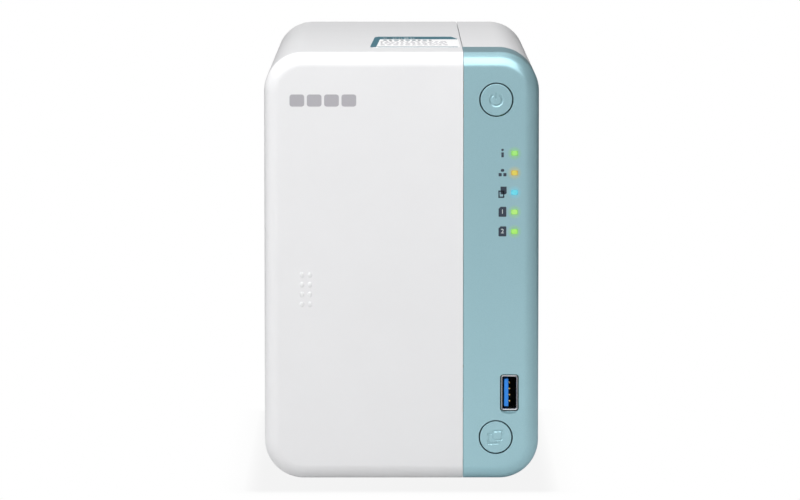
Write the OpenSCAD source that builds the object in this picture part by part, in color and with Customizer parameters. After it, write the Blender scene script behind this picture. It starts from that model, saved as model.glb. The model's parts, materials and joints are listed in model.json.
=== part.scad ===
// Two-bay desktop network attached storage with a slide-off cover.
// Millimetres. X is right, Y is back, Z is up. The origin is on the table under the middle of the body.

/* [Case] */
// Width over the side walls
body_w = 105; // [104:0.5:108]
// Depth from front face to rear edge
body_d = 226; // [226:1:230]
// Height of the case without its feet
case_h = 164; // [164:0.5:168]
// Height of the rubber feet
foot_h = 4; // [3:0.5:5]
// Radius of the four long corners
corner_r = 15; // [14:0.5:16]
// Radius of the edge round the front face
edge_r = 5.8; // [4:0.1:6]
// Thickness of the plastic walls
wall = 2.4; // [2:0.1:2.6]
// Distance of the cover's seam to the right of the middle
seam_x = 23.5; // [23.3:0.1:23.7]
// Gap along the seams
seam_gap = 0.3; // [0.3:0.05:0.4]
// How far the bezel wraps back from the front face
bezel_d = 38; // [36:1:40]

/* [Controls] */
// Distance of both push buttons to the right of the middle
button_x = 36.1; // [35.5:0.1:36.5]
// Height of the power button's axis
power_z = 150; // [149:0.5:151]
// Height of the copy button's axis
copy_z = 20.4; // [20:0.1:22]
// Radius of the button caps
button_r = 6.2; // [6:0.05:6.25]
// Radial gap round the button caps
button_gap = 0.3; // [0.3:0.05:0.4]
// Travel of the push buttons
button_travel = 1; // [0.8:0.1:1]
// Distance of the status lights to the right of the middle
light_x = 43.1; // [42.5:0.1:43.5]
// Height of the topmost status light
light_top_z = 129.55; // [128:0.05:130]
// Distance between status lights
light_pitch = 7.5; // [7.3:0.1:7.6]
// Number of status lights
light_count = 5; // [3:1:5]

/* [Front socket] */
// Distance of the front socket to the right of the middle
usb_x = 41.3; // [40:0.1:41.5]
// Height of the front socket's middle
usb_z = 37.5; // [37:0.1:38]
// Long side of a USB-A shell
usb_long = 14; // [13.8:0.1:14]
// Short side of a USB-A shell
usb_short = 6.7; // [6.6:0.1:6.8]

/* [Drives] */
// Long side of a drive
drive_l = 147; // [146:0.5:147]
// Height of a drive standing on edge
drive_h = 101.6; // [101:0.1:101.6]
// Thickness of a drive
drive_t = 26.1; // [20:0.1:26.1]
// Height of the middle of the drive bays
bay_z = 78; // [77:0.5:79]
// Width of one tray
tray_w = 33.1; // [33:0.1:33.2]

/* [Fan] */
// Side of the fan frame
fan_side = 70; // [70:1:72]
// Depth of the fan frame
fan_depth = 25; // [20:1:25]
// Number of fan blades
blade_count = 7; // [5:1:9]

/* [Hidden] */

$fn = 64;
hull_fn = 32;
eps = 0.01;
screw_r = 1.5;
screw_clear = 0.05;

// the case's outer box
x1 = body_w / 2;
x0 = -x1;
y0 = -body_d / 2;
y1 = -y0;
z0 = foot_h;
z1 = foot_h + case_h;
mid_z = (z0 + z1) / 2;
corner_x = x1 - corner_r;
corner_z = case_h / 2 - corner_r;
cover_x1 = seam_x - seam_gap / 2;
bezel_x0 = seam_x + seam_gap / 2;
bezel_y1 = y0 + bezel_d;
shell_y0 = bezel_y1 + 0.2;

// the cover's foot strips and the base between them
base_x0 = -corner_x + 0.3;
base_y0 = y0 + 10.3;

// rear panel
panel_t = 2.4;
panel_y0 = y1 - 3.4;
panel_y1 = panel_y0 + panel_t;
inner_gap = 0.4;

// bays
cage_t = 1;
cage_x0 = -48.6;
cage_x1 = 21.8;
cage_z0 = bay_z - 58;
cage_z1 = bay_z + 58;
cage_y0 = -92;
cage_y1 = 62;
divider_x = (cage_x0 + cage_x1) / 2;
bay_w = (cage_x1 - cage_x0 - 3 * cage_t) / 2;
bay_pitch = bay_w + cage_t;
bay_1_x = cage_x0 + cage_t + bay_w / 2;
tray_h = cage_z1 - cage_z0 - 2 * cage_t - 1;
tray_rail = 3.2;
tray_y0 = -95;
tray_face = 5;
tray_y1 = 58;
tray_plate = 2;
drive_y0 = -88;
drive_y1 = drive_y0 + drive_l;
frame_y0 = cage_y0 - 1.4;

// the tray's latch
latch_l = 24;
latch_h = 30;
latch_pocket = 4;
latch_pin_y = tray_y0 + 1.8;
latch_pin_r = 1;
latch_bore_r = 1.05;
latch_x = -tray_w / 2 + 5;

// centre wall and main board
wall_x0 = 22;
wall_t = 1.1;
board_x0 = 27.4;
board_t = 1.6;
board_x1 = board_x0 + board_t;
board_y0 = -66;
board_y1 = 104;
board_z0 = 20;
board_z1 = 148;
plane_y0 = 62;
plane_t = 1.6;
plane_screw_x = [cage_x0 + 5, cage_x1 - 5];
plane_screw_z = [32, 124];

// front board
front_board_y0 = -99;
front_board_t = 1.6;
board_screw_z = [64, 90];
led_d = 0.9;
stem_gap = 0.1;
switch_y0 = front_board_y0 - 3.5;
stem_y1 = switch_y0 - stem_gap - button_travel;

// sockets at the rear, all in one column above the main board
port_x = board_x1 + 7;
lan_z = 128;
rear_usb_z = [103, 84];
jack_z = 38;
reset_z = 148;
lock_z = 60;
port_y1 = panel_y1 + 0.6;

// fan
fan_x = -13;
fan_z = 84;
fan_y1 = panel_y0 - 0.1;
fan_y0 = fan_y1 - fan_depth;
fan_hole_r = fan_side / 2 - 2;
hub_r = 13;
blade_r = fan_hole_r - 1;
shaft_r = 1.5;
bearing_r = 1.55;
fan_screw_at = fan_side / 2 - 5;

foot_x = 31;
foot_front_y = -66;
foot_rear_y = 85;
foot_r = 5.5;

white = [0.93, 0.93, 0.93];
pearl_blue = [0.56, 0.70, 0.74];
steel = [0.72, 0.73, 0.75];
dark = [0.12, 0.12, 0.13];
green_board = [0.10, 0.32, 0.22];
gold = [0.85, 0.68, 0.30];
charcoal = [0.20, 0.21, 0.23];

// ---------- helpers ----------

// a box between two corners
module block(low, high) {
    translate(low) cube(high - low);
}

// a cylinder along Y
module rod_y(r, ya, yb, x, z) {
    translate([x, ya, z]) rotate([-90, 0, 0]) cylinder(r = r, h = yb - ya);
}

// a cylinder along X
module rod_x(r, xa, xb, y, z) {
    translate([xa, y, z]) rotate([0, 90, 0]) cylinder(r = r, h = xb - xa);
}

// a cylinder along Z
module rod_z(r, za, zb, x, y) {
    translate([x, y, za]) cylinder(r = r, h = zb - za);
}

// the case's section, shrunk by inset, as a flat shape in XZ
module case_outline(inset) {
    r = corner_r - inset;
    square([body_w - 2 * inset, 2 * corner_z], center = true);
    square([2 * corner_x, case_h - 2 * inset], center = true);
    for (sx = [-1, 1], sz = [-1, 1]) translate([sx * corner_x, sz * corner_z]) circle(r = r);
}

// a plate with the case's section between two depths
module case_plate(inset, ya, yb) {
    translate([0, yb, mid_z]) rotate([90, 0, 0]) linear_extrude(yb - ya) case_outline(inset);
}

// one long corner post with its rounded front end
module corner_post(r, edge, ya, yb) {
    translate([0, ya, 0]) rotate([-90, 0, 0]) rotate_extrude($fn = 1.5 * hull_fn) {
        translate([0, edge]) square([r, yb - ya - edge]);
        translate([r - edge, edge]) circle(r = edge, $fn = hull_fn);
        square([r - edge, edge + eps]);
    }
}

// the whole case as a solid with a rounded front edge, shrunk by inset
module case_solid(inset, yb) {
    r = corner_r - inset;
    translate([0, 0, mid_z]) hull() {
        for (sx = [-1, 1], sz = [-1, 1]) {
            translate([sx * corner_x, 0, sz * corner_z]) corner_post(r, edge_r - inset, y0 + inset, yb);
        }
    }
}

// a hollow case, open at the back
module case_skin() {
    difference() {
        case_solid(0, y1);
        case_solid(wall, y1 + 1);
    }
}

// a row of slots along Y or Z in a plate, as cutters
module slots(low, size, step, count) {
    for (n = [0:count - 1]) translate(low + n * step) cube(size);
}

// ---------- the slide cover ----------

module grip_dots() {
    for (col = [0, 1], row = [0:3]) {
        translate([-38.1 + 3 * col, y0 + 0.35, 71.6 + 3.77 * row]) rotate([90, 0, 0])
            cylinder(r1 = 0.9, r2 = 0.5, h = 0.6, $fn = 24);
    }
}

// tongues that tuck in behind the bezel and under the side shell
module cover_tongues() {
    top = z1 - wall;
    front = y0 + wall;
    for (y = [-66, -6, 60]) {
        block([cover_x1 - 4, y, top - 2.4], [cover_x1 + 3, y + 18, top - 0.4]);
        block([cover_x1 - 4, y, top - 1], [cover_x1 - 1, y + 18, top + eps]);
    }
    for (z = [48, 112]) {
        block([cover_x1 - 4, front + 0.4, z], [cover_x1 + 1.8, front + 2, z + 14]);
        block([cover_x1 - 4, front - eps, z], [cover_x1 - 1, front + 1, z + 14]);
    }
}

module cover_shell() {
    color(white) union() {
        difference() {
            case_skin();
            block([cover_x1, y0 - 1, 0], [x1 + 1, y1 + 1, z1 + 1]);
            block([base_x0 - 0.3, base_y0 - 0.3, 0], [x1 + 1, y1 + 1, z0 + wall + 1]);
        }
        grip_dots();
        cover_tongues();
    }
}

module cover_mark() {
    color([0.72, 0.72, 0.74]) {
        for (n = [0:3]) block([-42.7 + 6.6 * n, y0 - 0.12, 147.4], [-42.7 + 6.6 * n + 5.6, y0, 152]);
    }
}

module top_sticker() {
    color([0.16, 0.47, 0.55]) block([-12.2, -79.5, z1], [22.7, -5.3, z1 + 0.12]);
}

// ---------- fixed outer shells ----------

module front_bezel() {
    color(pearl_blue) difference() {
        union() {
            difference() {
                case_skin();
                block([x0 - 1, y0 - 1, 0], [bezel_x0, y1 + 1, z1 + 1]);
                block([x0 - 1, bezel_y1, 0], [x1 + 1, y1 + 1, z1 + 1]);
            }
            for (z = [power_z, copy_z]) {
                rod_y(button_r + 1.9, y0 + wall - eps, y0 + wall + 3.2, button_x, z);
            }
            for (z = board_screw_z) rod_y(2.8, y0 + wall - eps, front_board_y0, 30, z);
        }
        for (z = [power_z, copy_z]) rod_y(button_r + button_gap, y0 - 1, y0 + wall + 4, button_x, z);
        block([usb_x - usb_short / 2 - 0.15, y0 - 1, usb_z - usb_long / 2 - 0.15],
              [usb_x + usb_short / 2 + 0.15, y0 + wall + 1, usb_z + usb_long / 2 + 0.15]);
        for (n = [0:light_count - 1]) {
            z = light_top_z - n * light_pitch;
            block([light_x - 1.05, y0 - 1, z - 0.95], [light_x + 1.05, y0 + wall + 1, z + 0.95]);
        }
        for (z = board_screw_z) {
            rod_y(screw_r + screw_clear, front_board_y0 - 5, front_board_y0 + 1, 30, z);
        }
    }
}

module side_shell() {
    color(white) difference() {
        case_skin();
        block([x0 - 1, y0 - 1, 0], [bezel_x0, y1 + 1, z1 + 1]);
        block([x0 - 1, y0 - 1, 0], [x1 + 1, shell_y0, z1 + 1]);
        slots([31, -40, z0 - 1], [12, 2.4, wall + 2], [0, 5, 0], 12);
    }
}

module base_pan() {
    base_x1 = bezel_x0 - 0.1;
    color(white) difference() {
        union() {
            block([base_x0, base_y0, z0], [base_x1, panel_y0 - 0.1, z0 + wall]);
            block([base_x0, base_y0, z0], [base_x0 + 2, panel_y0 - 0.1, z0 + wall + 3]);
            block([base_x0, base_y0, z0], [cage_x1, base_y0 + 2, z0 + wall + 3]);
            for (x = [-28, 12], y = [-70, 48]) rod_z(5, z0, cage_z0, x, y);
            for (x = [-28, 12]) block([x - 4, panel_y0 - 8.1, z0], [x + 4, panel_y0 - 0.1, z0 + 10]);
        }
        for (x = [-28, 12], y = [-70, 48]) rod_z(screw_r + screw_clear, z0 + 5, cage_z0 + 1, x, y);
        for (x = [-28, 12]) rod_y(screw_r + screw_clear, panel_y0 - 7, panel_y0 + 1, x, z0 + 5.5);
        slots([-22, -56, z0 - 1], [28, 3, wall + 2], [0, 7, 0], 13);
    }
}

module feet() {
    color(dark) for (x = [-foot_x, foot_x], y = [foot_front_y, foot_rear_y]) rod_z(foot_r, 0, z0, x, y);
}

// ring slots of the fan grille, crossed by four bars
module grille_cuts() {
    difference() {
        for (r = [9, 14, 19, 24, 29]) {
            rotate_extrude() translate([r, 0]) square([3, panel_t + 2]);
        }
        for (a = [45, 135]) rotate([0, 0, a]) translate([-40, -1.2, -1]) cube([80, 2.4, panel_t + 4]);
    }
}

module rear_panel() {
    color(white) difference() {
        case_plate(wall + inner_gap, panel_y0, panel_y1);
        translate([fan_x, panel_y0 - 1, fan_z]) rotate([-90, 0, 0]) grille_cuts();
        for (sx = [-1, 1], sz = [-1, 1]) {
            rod_y(1.9, panel_y0 - 1, panel_y1 + 1, fan_x + sx * fan_screw_at, fan_z + sz * fan_screw_at);
        }
        for (x = [-28, 12]) rod_y(screw_r + screw_clear, panel_y0 - 1, panel_y1 + 1, x, z0 + 5.5);
        for (z = [30, 140]) rod_y(screw_r + screw_clear, panel_y0 - 1, panel_y1 + 1, wall_x0 - 4, z);
        block([port_x - 7.3, panel_y0 - 1, lan_z - 8.3], [port_x + 7.1, panel_y1 + 1, lan_z + 8.3]);
        for (z = rear_usb_z) {
            block([port_x - 3.55, panel_y0 - 1, z - 7.2], [port_x + 3.55, panel_y1 + 1, z + 7.2]);
        }
        rod_y(4.6, panel_y0 - 1, panel_y1 + 1, port_x, jack_z);
        rod_y(1.6, panel_y0 - 1, panel_y1 + 1, port_x, reset_z);
        block([port_x - 1.5, panel_y0 - 1, lock_z - 3.5], [port_x + 1.5, panel_y1 + 1, lock_z + 3.5]);
        slots([-40, panel_y0 - 1, 128], [2, panel_t + 2, 22], [4, 0, 0], 13);
    }
}

module bay_frame() {
    color(charcoal) difference() {
        case_plate(wall + 0.6, frame_y0, cage_y0 - 0.1);
        block([wall_x0 - 0.1, y0, 0], [x1, y1, z1]);
        block([x0, y0, 0], [x1, y1, z0 + wall + 3.1]);
        block([cage_x0 + cage_t, y0, cage_z0 + cage_t], [cage_x1 - cage_t, y1, cage_z1 - cage_t]);
    }
}

// ---------- controls ----------

module icon_card(z) {
    block([-1.45, y0 - 0.1, z - 1.9], [1.45, y0, z + 1.9]);
}

module icon_square(x, z) {
    block([x - 0.75, y0 - 0.1, z - 0.75], [x + 0.75, y0, z + 0.75]);
}

module status_icons() {
    color([0.20, 0.24, 0.29]) translate([38.5, 0, 0]) {
        z = light_top_z;
        block([-0.45, y0 - 0.1, z - 1.8], [0.45, y0, z + 0.5]);
        rod_y(0.5, y0 - 0.1, y0, 0, z + 1.3);
        for (x = [-1.3, 1.3]) icon_square(x, z - light_pitch - 0.85);
        icon_square(0, z - light_pitch + 1.05);
        for (n = [2:light_count - 1]) icon_card(z - n * light_pitch);
    }
}

module light_pipes() {
    color([0.6, 0.95, 0.6]) for (n = [0:light_count - 1]) {
        z = light_top_z - n * light_pitch;
        block([light_x - 0.95, y0 - 0.05, z - 0.85],
              [light_x + 0.95, front_board_y0 - led_d - 0.3, z + 0.85]);
        block([light_x - 1.6, y0 + wall + 0.1, z - 1.5], [light_x + 1.6, y0 + wall + 1.4, z + 1.5]);
    }
}

// a cap with a retaining flange and a stem that reaches the switch
module push_button(z) {
    color(pearl_blue) {
        rod_y(button_r, y0, y0 + 6.6, button_x, z);
        rod_y(button_r + 1.2, y0 + 6.2, y0 + 7.2, button_x, z);
        rod_y(1.8, y0 + 7.1, stem_y1, button_x, z);
    }
}
module power_button() { push_button(power_z); }
module copy_button() { push_button(copy_z); }

// a USB-A receptacle's shell: long side upright, mouth at ya
module usb_shell(x, z, ya, yb, front) {
    mouth = front ? [ya - 1, yb - 1] : [ya + 1, yb + 1];
    difference() {
        block([x - usb_short / 2, ya, z - usb_long / 2], [x + usb_short / 2, yb, z + usb_long / 2]);
        block([x - usb_short / 2 + 0.4, mouth[0], z - usb_long / 2 + 0.4],
              [x + usb_short / 2 - 0.4, mouth[1], z + usb_long / 2 - 0.4]);
    }
}

module front_usb_shell() {
    color(steel) usb_shell(usb_x, usb_z, y0 + 0.1, front_board_y0 - 0.1, true);
}
module front_usb_tongue() {
    color([0.05, 0.25, 0.65]) {
        block([usb_x - 2.35, y0 + 1, usb_z - 5.5], [usb_x - 0.5, front_board_y0 - 1.3, usb_z + 5.5]);
        block([usb_x - 2.9, y0 + 8, usb_z - 6.5], [usb_x + 2.9, front_board_y0 - 1.2, usb_z + 6.5]);
    }
}
module front_usb_contacts() {
    color(gold) for (n = [0:3]) {
        z = usb_z - 3.75 + 2.5 * n;
        block([usb_x - 0.5, y0 + 2, z - 0.5], [usb_x - 0.3, y0 + 8, z + 0.5]);
    }
}

module front_board() {
    color(green_board) difference() {
        block([26.2, front_board_y0, 15], [48.5, front_board_y0 + front_board_t, 156]);
        for (z = board_screw_z) {
            rod_y(screw_r + screw_clear, front_board_y0 - 1, front_board_y0 + 3, 30, z);
        }
    }
}

module front_switches() {
    color(charcoal) for (z = [power_z, copy_z]) {
        block([button_x - 3, front_board_y0 - 2.4, z - 3], [button_x + 3, front_board_y0, z + 3]);
        rod_y(1.7, switch_y0, front_board_y0 - 2.3, button_x, z);
    }
}

module status_leds() {
    color([0.95, 0.95, 0.85]) for (n = [0:light_count - 1]) {
        z = light_top_z - n * light_pitch;
        block([light_x - 0.8, front_board_y0 - led_d, z - 0.5], [light_x + 0.8, front_board_y0, z + 0.5]);
    }
}

// flat cable from the front board to the main board, folded once
module ribbon_cable() {
    color([0.85, 0.85, 0.83]) {
        block([30, front_board_y0 + front_board_t, 108], [48, front_board_y0 + front_board_t + 0.3, 118]);
        block([30, front_board_y0 + front_board_t, 108], [30.3, board_y0 + 12, 118]);
        block([board_x1, board_y0 + 8, 107], [30.9, board_y0 + 12.1, 119]);
    }
}

// ---------- bays ----------

// the three upright plates of the cage, with rows of vent slots
module cage_walls() {
    wall_z0 = cage_z0 + cage_t;
    wall_z1 = cage_z1 - cage_t;
    color(steel) difference() {
        for (x = [cage_x0, divider_x - cage_t / 2, cage_x1 - cage_t]) {
            block([x, cage_y0, wall_z0], [x + cage_t, cage_y1, wall_z1]);
        }
        for (row = [0:7]) {
            slots([cage_x0 - 1, -74, wall_z0 + 14 + 11.5 * row], [100, 14, 4.4], [0, 22, 0], 6);
        }
    }
}

// the cage's roof and floor
module cage_decks() {
    color(steel) difference() {
        for (z = [cage_z0, cage_z1 - cage_t]) {
            block([cage_x0, cage_y0, z], [cage_x1, cage_y1, z + cage_t]);
        }
        for (n = [0, 1]) {
            x = bay_1_x + n * bay_pitch;
            slots([x - 9, -66, cage_z0 - 1], [18, 5, 2 * (cage_z1 - cage_z0)], [0, 16, 0], 7);
        }
        for (x = [-28, 12], y = [-70, 48]) rod_z(screw_r + screw_clear, cage_z0 - 1, cage_z0 + 2, x, y);
    }
}

// ears on the outer walls that take the backplane's screws
module cage_tabs() {
    color(steel) difference() {
        for (x = plane_screw_x, z = plane_screw_z) {
            block([x - 4, cage_y1 - 1.5, z - 6], [x + 4, cage_y1, z + 6]);
        }
        for (x = plane_screw_x, z = plane_screw_z) {
            rod_y(screw_r + screw_clear, cage_y1 - 3, cage_y1 + 1, x, z);
        }
    }
}

module centre_wall() {
    color(steel) difference() {
        union() {
            block([wall_x0, cage_y0, z0 + wall], [wall_x0 + wall_t, panel_y0 - 0.2, 160]);
            block([wall_x0 - 9, panel_y0 - 1.2, 24], [wall_x0 + wall_t, panel_y0 - 0.2, 36]);
            block([wall_x0 - 9, panel_y0 - 1.2, 134], [wall_x0 + wall_t, panel_y0 - 0.2, 146]);
        }
        for (z = [30, 140]) rod_y(screw_r + screw_clear, panel_y0 - 3, panel_y1, wall_x0 - 4, z);
        slots([wall_x0 - 1, -60, 144], [4, 12, 4], [0, 20, 0], 7);
        block([wall_x0 - 1, plane_y0 - 3, 56], [wall_x0 + 3, plane_y0 + 6, 100]);
        for (y = [board_y0 + 6, board_y1 - 24], z = [board_z0 + 6, board_z1 - 6]) {
            rod_x(screw_r + screw_clear, wall_x0 - 1, wall_x0 + 3, y, z);
        }
    }
}

// a tray stands on edge: face, two rails, a side plate with windows and a rear bar
module tray(x) {
    zl = bay_z - tray_h / 2;
    zh = bay_z + tray_h / 2;
    xl = x - tray_w / 2;
    xh = x + tray_w / 2;
    color(charcoal) difference() {
        union() {
            block([xl, tray_y0, zl], [xh, tray_y0 + tray_face, zh]);
            block([xl, tray_y0, zl], [xh, tray_y1, zl + tray_rail]);
            block([xl, tray_y0, zh - tray_rail], [xh, tray_y1, zh]);
            block([xl, tray_y0, zl], [xl + tray_plate, tray_y1, zh]);
        }
        for (z = [0:2]) {
            slots([xl - 1, -70, zl + 33 + 22 * z], [tray_plate + 2, 26, 4], [0, 34, 0], 3);
        }
        for (n = [0:6], s = [0, 1]) {
            za = s == 0 ? zl + 6 + n * 4.6 : zh - 8 - n * 4.6;
            block([xl + 6, tray_y0 - 1, za], [xh - 4, tray_y0 + tray_face + 1, za + 2.2]);
        }
        block([x + latch_x - 3.3, tray_y0 - 1, bay_z - latch_h / 2 - 0.4],
              [x + latch_x + latch_l, tray_y0 + latch_pocket, bay_z + latch_h / 2 + 0.4]);
        rod_z(latch_pin_r, bay_z - latch_h / 2 - 5, bay_z + latch_h / 2 + 5, x + latch_x, latch_pin_y);
        for (y = [-58, 30], z = [-38, 38]) {
            rod_x(screw_r + screw_clear, xl - 1, xl + 4, y, bay_z + z);
        }
    }
}
module tray_1() { tray(bay_1_x); }
module tray_2() { tray(bay_1_x + bay_pitch); }

// the latch lever with its bore and a finger hook at the free end
module latch(x) {
    px = x + latch_x;
    color([0.45, 0.66, 0.71]) difference() {
        union() {
            rod_z(1.9, bay_z - latch_h / 2, bay_z + latch_h / 2, px, latch_pin_y);
            block([px, tray_y0 - 0.2, bay_z - latch_h / 2],
                  [px + latch_l - 1, tray_y0 + 2, bay_z + latch_h / 2]);
            block([px + latch_l - 3, tray_y0 - 0.2, bay_z - latch_h / 2],
                  [px + latch_l - 1, tray_y0 + 2.8, bay_z + latch_h / 2]);
        }
        rod_z(latch_bore_r, bay_z - latch_h / 2 - 1, bay_z + latch_h / 2 + 1, px, latch_pin_y);
    }
}
module latch_1() { latch(bay_1_x); }
module latch_2() { latch(bay_1_x + bay_pitch); }
module latch_pin(x) {
    pin_end = latch_h / 2 + 4;
    color(steel) rod_z(latch_pin_r, bay_z - pin_end, bay_z + pin_end, x + latch_x, latch_pin_y);
}
module latch_pin_1() { latch_pin(bay_1_x); }
module latch_pin_2() { latch_pin(bay_1_x + bay_pitch); }

// a 3.5 inch drive on edge: cast body with its board side to the left
module drive(x) {
    xl = x - tray_w / 2 + tray_plate + 0.1;
    xh = xl + drive_t;
    zl = bay_z - drive_h / 2;
    zh = bay_z + drive_h / 2;
    color([0.62, 0.63, 0.65]) difference() {
        union() {
            block([xl, drive_y0, zl], [xh - 1.5, drive_y1, zh]);
            block([xh - 1.6, drive_y0 + 3, zl + 3], [xh, drive_y1 - 3, zh - 3]);
        }
        block([xl - 1, drive_y1 - 60, zl + 8], [xl + 2.5, drive_y1 + 1, zh - 8]);
        block([xl + 1, drive_y1 - 7, bay_z - 24], [xl + 8, drive_y1 + 1, bay_z + 24]);
        for (y = [-58, 30], z = [-38, 38]) rod_x(screw_r + screw_clear, xl - 1, xl + 5, y, bay_z + z);
    }
}
module drive_1() { drive(bay_1_x); }
module drive_2() { drive(bay_1_x + bay_pitch); }

module drive_board(x) {
    xl = x - tray_w / 2 + tray_plate + 0.1;
    zl = bay_z - drive_h / 2;
    zh = bay_z + drive_h / 2;
    color(green_board) difference() {
        block([xl + 0.6, drive_y1 - 58, zl + 9], [xl + 2.2, drive_y1 - 8, zh - 9]);
        for (z = [-38, 38]) rod_x(4, xl, xl + 3, 30, bay_z + z);
    }
    color(dark) block([xl + 0.1, drive_y1 - 40, bay_z - 8], [xl + 0.7, drive_y1 - 24, bay_z + 8]);
    color(dark) block([xl + 0.1, drive_y1 - 40, bay_z + 16], [xl + 0.7, drive_y1 - 31, bay_z + 28]);
}
module drive_1_board() { drive_board(bay_1_x); }
module drive_2_board() { drive_board(bay_1_x + bay_pitch); }

module drive_screws(x) {
    xl = x - tray_w / 2;
    color(steel) for (y = [-58, 30], z = [-38, 38]) {
        rod_x(screw_r, xl, xl + tray_plate + 3.6, y, bay_z + z);
    }
}
module drive_1_screws() { drive_screws(bay_1_x); }
module drive_2_screws() { drive_screws(bay_1_x + bay_pitch); }

module backplane_board() {
    color(green_board) difference() {
        union() {
            block([cage_x0 + 1, plane_y0, 26], [cage_x1, plane_y0 + plane_t, 130]);
            block([cage_x1 - 1, plane_y0, 62], [board_x0 - 1.2, plane_y0 + plane_t, 94]);
        }
        for (n = [0, 1]) {
            x = bay_1_x + n * bay_pitch + 4;
            slots([x, plane_y0 - 1, 40], [8, 4, 22], [0, 0, 28], 3);
        }
        for (x = plane_screw_x, z = plane_screw_z) {
            rod_y(screw_r + screw_clear, plane_y0 - 1, plane_y0 + 3, x, z);
        }
    }
}

// one connector block per bay, with the blade that enters the drive
module drive_connectors() {
    color(dark) for (n = [0, 1]) {
        xl = bay_1_x + n * bay_pitch - tray_w / 2 + tray_plate + 0.1;
        block([xl + 0.6, drive_y1 + 0.4, bay_z - 25], [xl + 9, plane_y0, bay_z + 25]);
        block([xl + 3, drive_y1 - 4.5, bay_z - 21], [xl + 5.5, drive_y1 + 0.5, bay_z + 21]);
    }
}

module link_connector() {
    color([0.85, 0.82, 0.75]) difference() {
        block([wall_x0 + wall_t + 0.4, plane_y0 - 2.4, 60], [board_x0, plane_y0 + plane_t + 2.4, 96]);
        block([wall_x0, plane_y0 - 0.1, 61.8], [board_x0 - 1.1, plane_y0 + plane_t + 0.1, 94.2]);
    }
}

// ---------- electronics ----------

module board_points() {
    for (y = [board_y0 + 6, board_y1 - 24], z = [board_z0 + 6, board_z1 - 6]) {
        translate([0, y, z]) children();
    }
}

module main_board() {
    color(green_board) difference() {
        block([board_x0, board_y0, board_z0], [board_x1, board_y1, board_z1]);
        board_points() rod_x(screw_r + screw_clear, board_x0 - 1, board_x1 + 1, 0, 0);
    }
}

module board_standoffs() {
    color(gold) board_points() difference() {
        rod_x(2.8, wall_x0 + wall_t, board_x0, 0, 0);
        rod_x(screw_r + screw_clear, wall_x0, board_x0 + 1, 0, 0);
    }
}

module board_screws() {
    color(steel) board_points() {
        rod_x(screw_r, wall_x0 + wall_t + 0.5, board_x1 + 0.5, 0, 0);
        rod_x(2.7, board_x1, board_x1 + 1.6, 0, 0);
    }
}

// a flat package on the main board, given its middle and its two sides
module package(y, z, ly, lz, h) {
    block([board_x1, y - ly / 2, z - lz / 2], [board_x1 + h, y + ly / 2, z + lz / 2]);
}

module chips() {
    color(dark) {
        package(4, 92, 24, 24, 1.8);
        for (n = [0:3]) package(-32, 62 + 17 * n, 9, 13, 1.2);
        package(58, 128, 10, 10, 1.2);
        package(62, 96, 8, 8, 1.1);
        package(2, 44, 14, 14, 1.2);
    }
}

module heat_sink() {
    base = board_x1 + 1.9;
    color([0.55, 0.57, 0.60]) {
        block([base, -18, 70], [base + 3, 26, 114]);
        for (n = [0:10]) block([base + 2.9, -18 + 4.25 * n, 70], [base + 14, -16.5 + 4.25 * n, 114]);
    }
}

module capacitors() {
    color([0.30, 0.31, 0.36]) {
        for (n = [0:3]) rod_x(3.2, board_x1, board_x1 + 8, 30 + 9 * n, 30);
        for (n = [0:2]) rod_x(2.5, board_x1, board_x1 + 6, -52, 60 + 8 * n);
    }
}

module coils() {
    color([0.35, 0.35, 0.36]) for (n = [0:3]) package(20 + 10 * n, 58, 7, 7, 4);
}

module cell_holder() {
    color(charcoal) difference() {
        rod_x(11.6, board_x1, board_x1 + 3.6, -30, 38);
        rod_x(10.1, board_x1 + 0.8, board_x1 + 5, -30, 38);
    }
}
module coin_cell() {
    color(steel) rod_x(10, board_x1 + 0.8, board_x1 + 4, -30, 38);
}

module lan_socket() {
    color(steel) difference() {
        block([board_x1, port_y1 - 21, lan_z - 8], [port_x + 6.8, port_y1, lan_z + 8]);
        block([port_x - 4.4, port_y1 - 14, lan_z - 5.9], [port_x + 3.6, port_y1 + 1, lan_z + 5.9]);
    }
}

module rear_usb_shells() {
    color(steel) for (z = rear_usb_z) {
        usb_shell(port_x, z, port_y1 - 17, port_y1, false);
        for (s = [-5, 4.4]) {
            block([board_x1, port_y1 - 16, z + s],
                  [port_x - usb_short / 2 + eps, port_y1 - 5, z + s + 0.6]);
        }
    }
}

module rear_usb_tongues() {
    color([0.05, 0.25, 0.65]) for (z = rear_usb_z) {
        block([port_x - 2.35, port_y1 - 15.9, z - 5.5], [port_x - 0.5, port_y1 - 1, z + 5.5]);
        block([port_x - 2.9, port_y1 - 15.9, z - 6.5], [port_x + 2.9, port_y1 - 9, z + 6.5]);
    }
}

module power_jack() {
    color(dark) {
        difference() {
            union() {
                block([board_x1, port_y1 - 16, jack_z - 6], [port_x + 5.5, panel_y0 - 0.2, jack_z + 6]);
                rod_y(4.4, panel_y0 - 0.3, port_y1, port_x, jack_z);
            }
            rod_y(2.8, port_y1 - 11, port_y1 + 1, port_x, jack_z);
        }
        rod_y(1.05, port_y1 - 11.5, port_y1 - 1, port_x, jack_z);
    }
}

module reset_switch() {
    color(charcoal) {
        block([board_x1, 97, reset_z - 3.4], [port_x + 3, 101, reset_z]);
        block([port_x - 3, 97, reset_z - 3.4], [port_x + 3, 101, reset_z + 3]);
        rod_y(1, 100.9, 102, port_x, reset_z);
    }
}
module reset_button() {
    color(dark) {
        rod_y(1.25, 103, panel_y1 - 0.6, port_x, reset_z);
        rod_y(2.6, 105, 106.2, port_x, reset_z);
    }
}

// ---------- fan ----------

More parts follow.
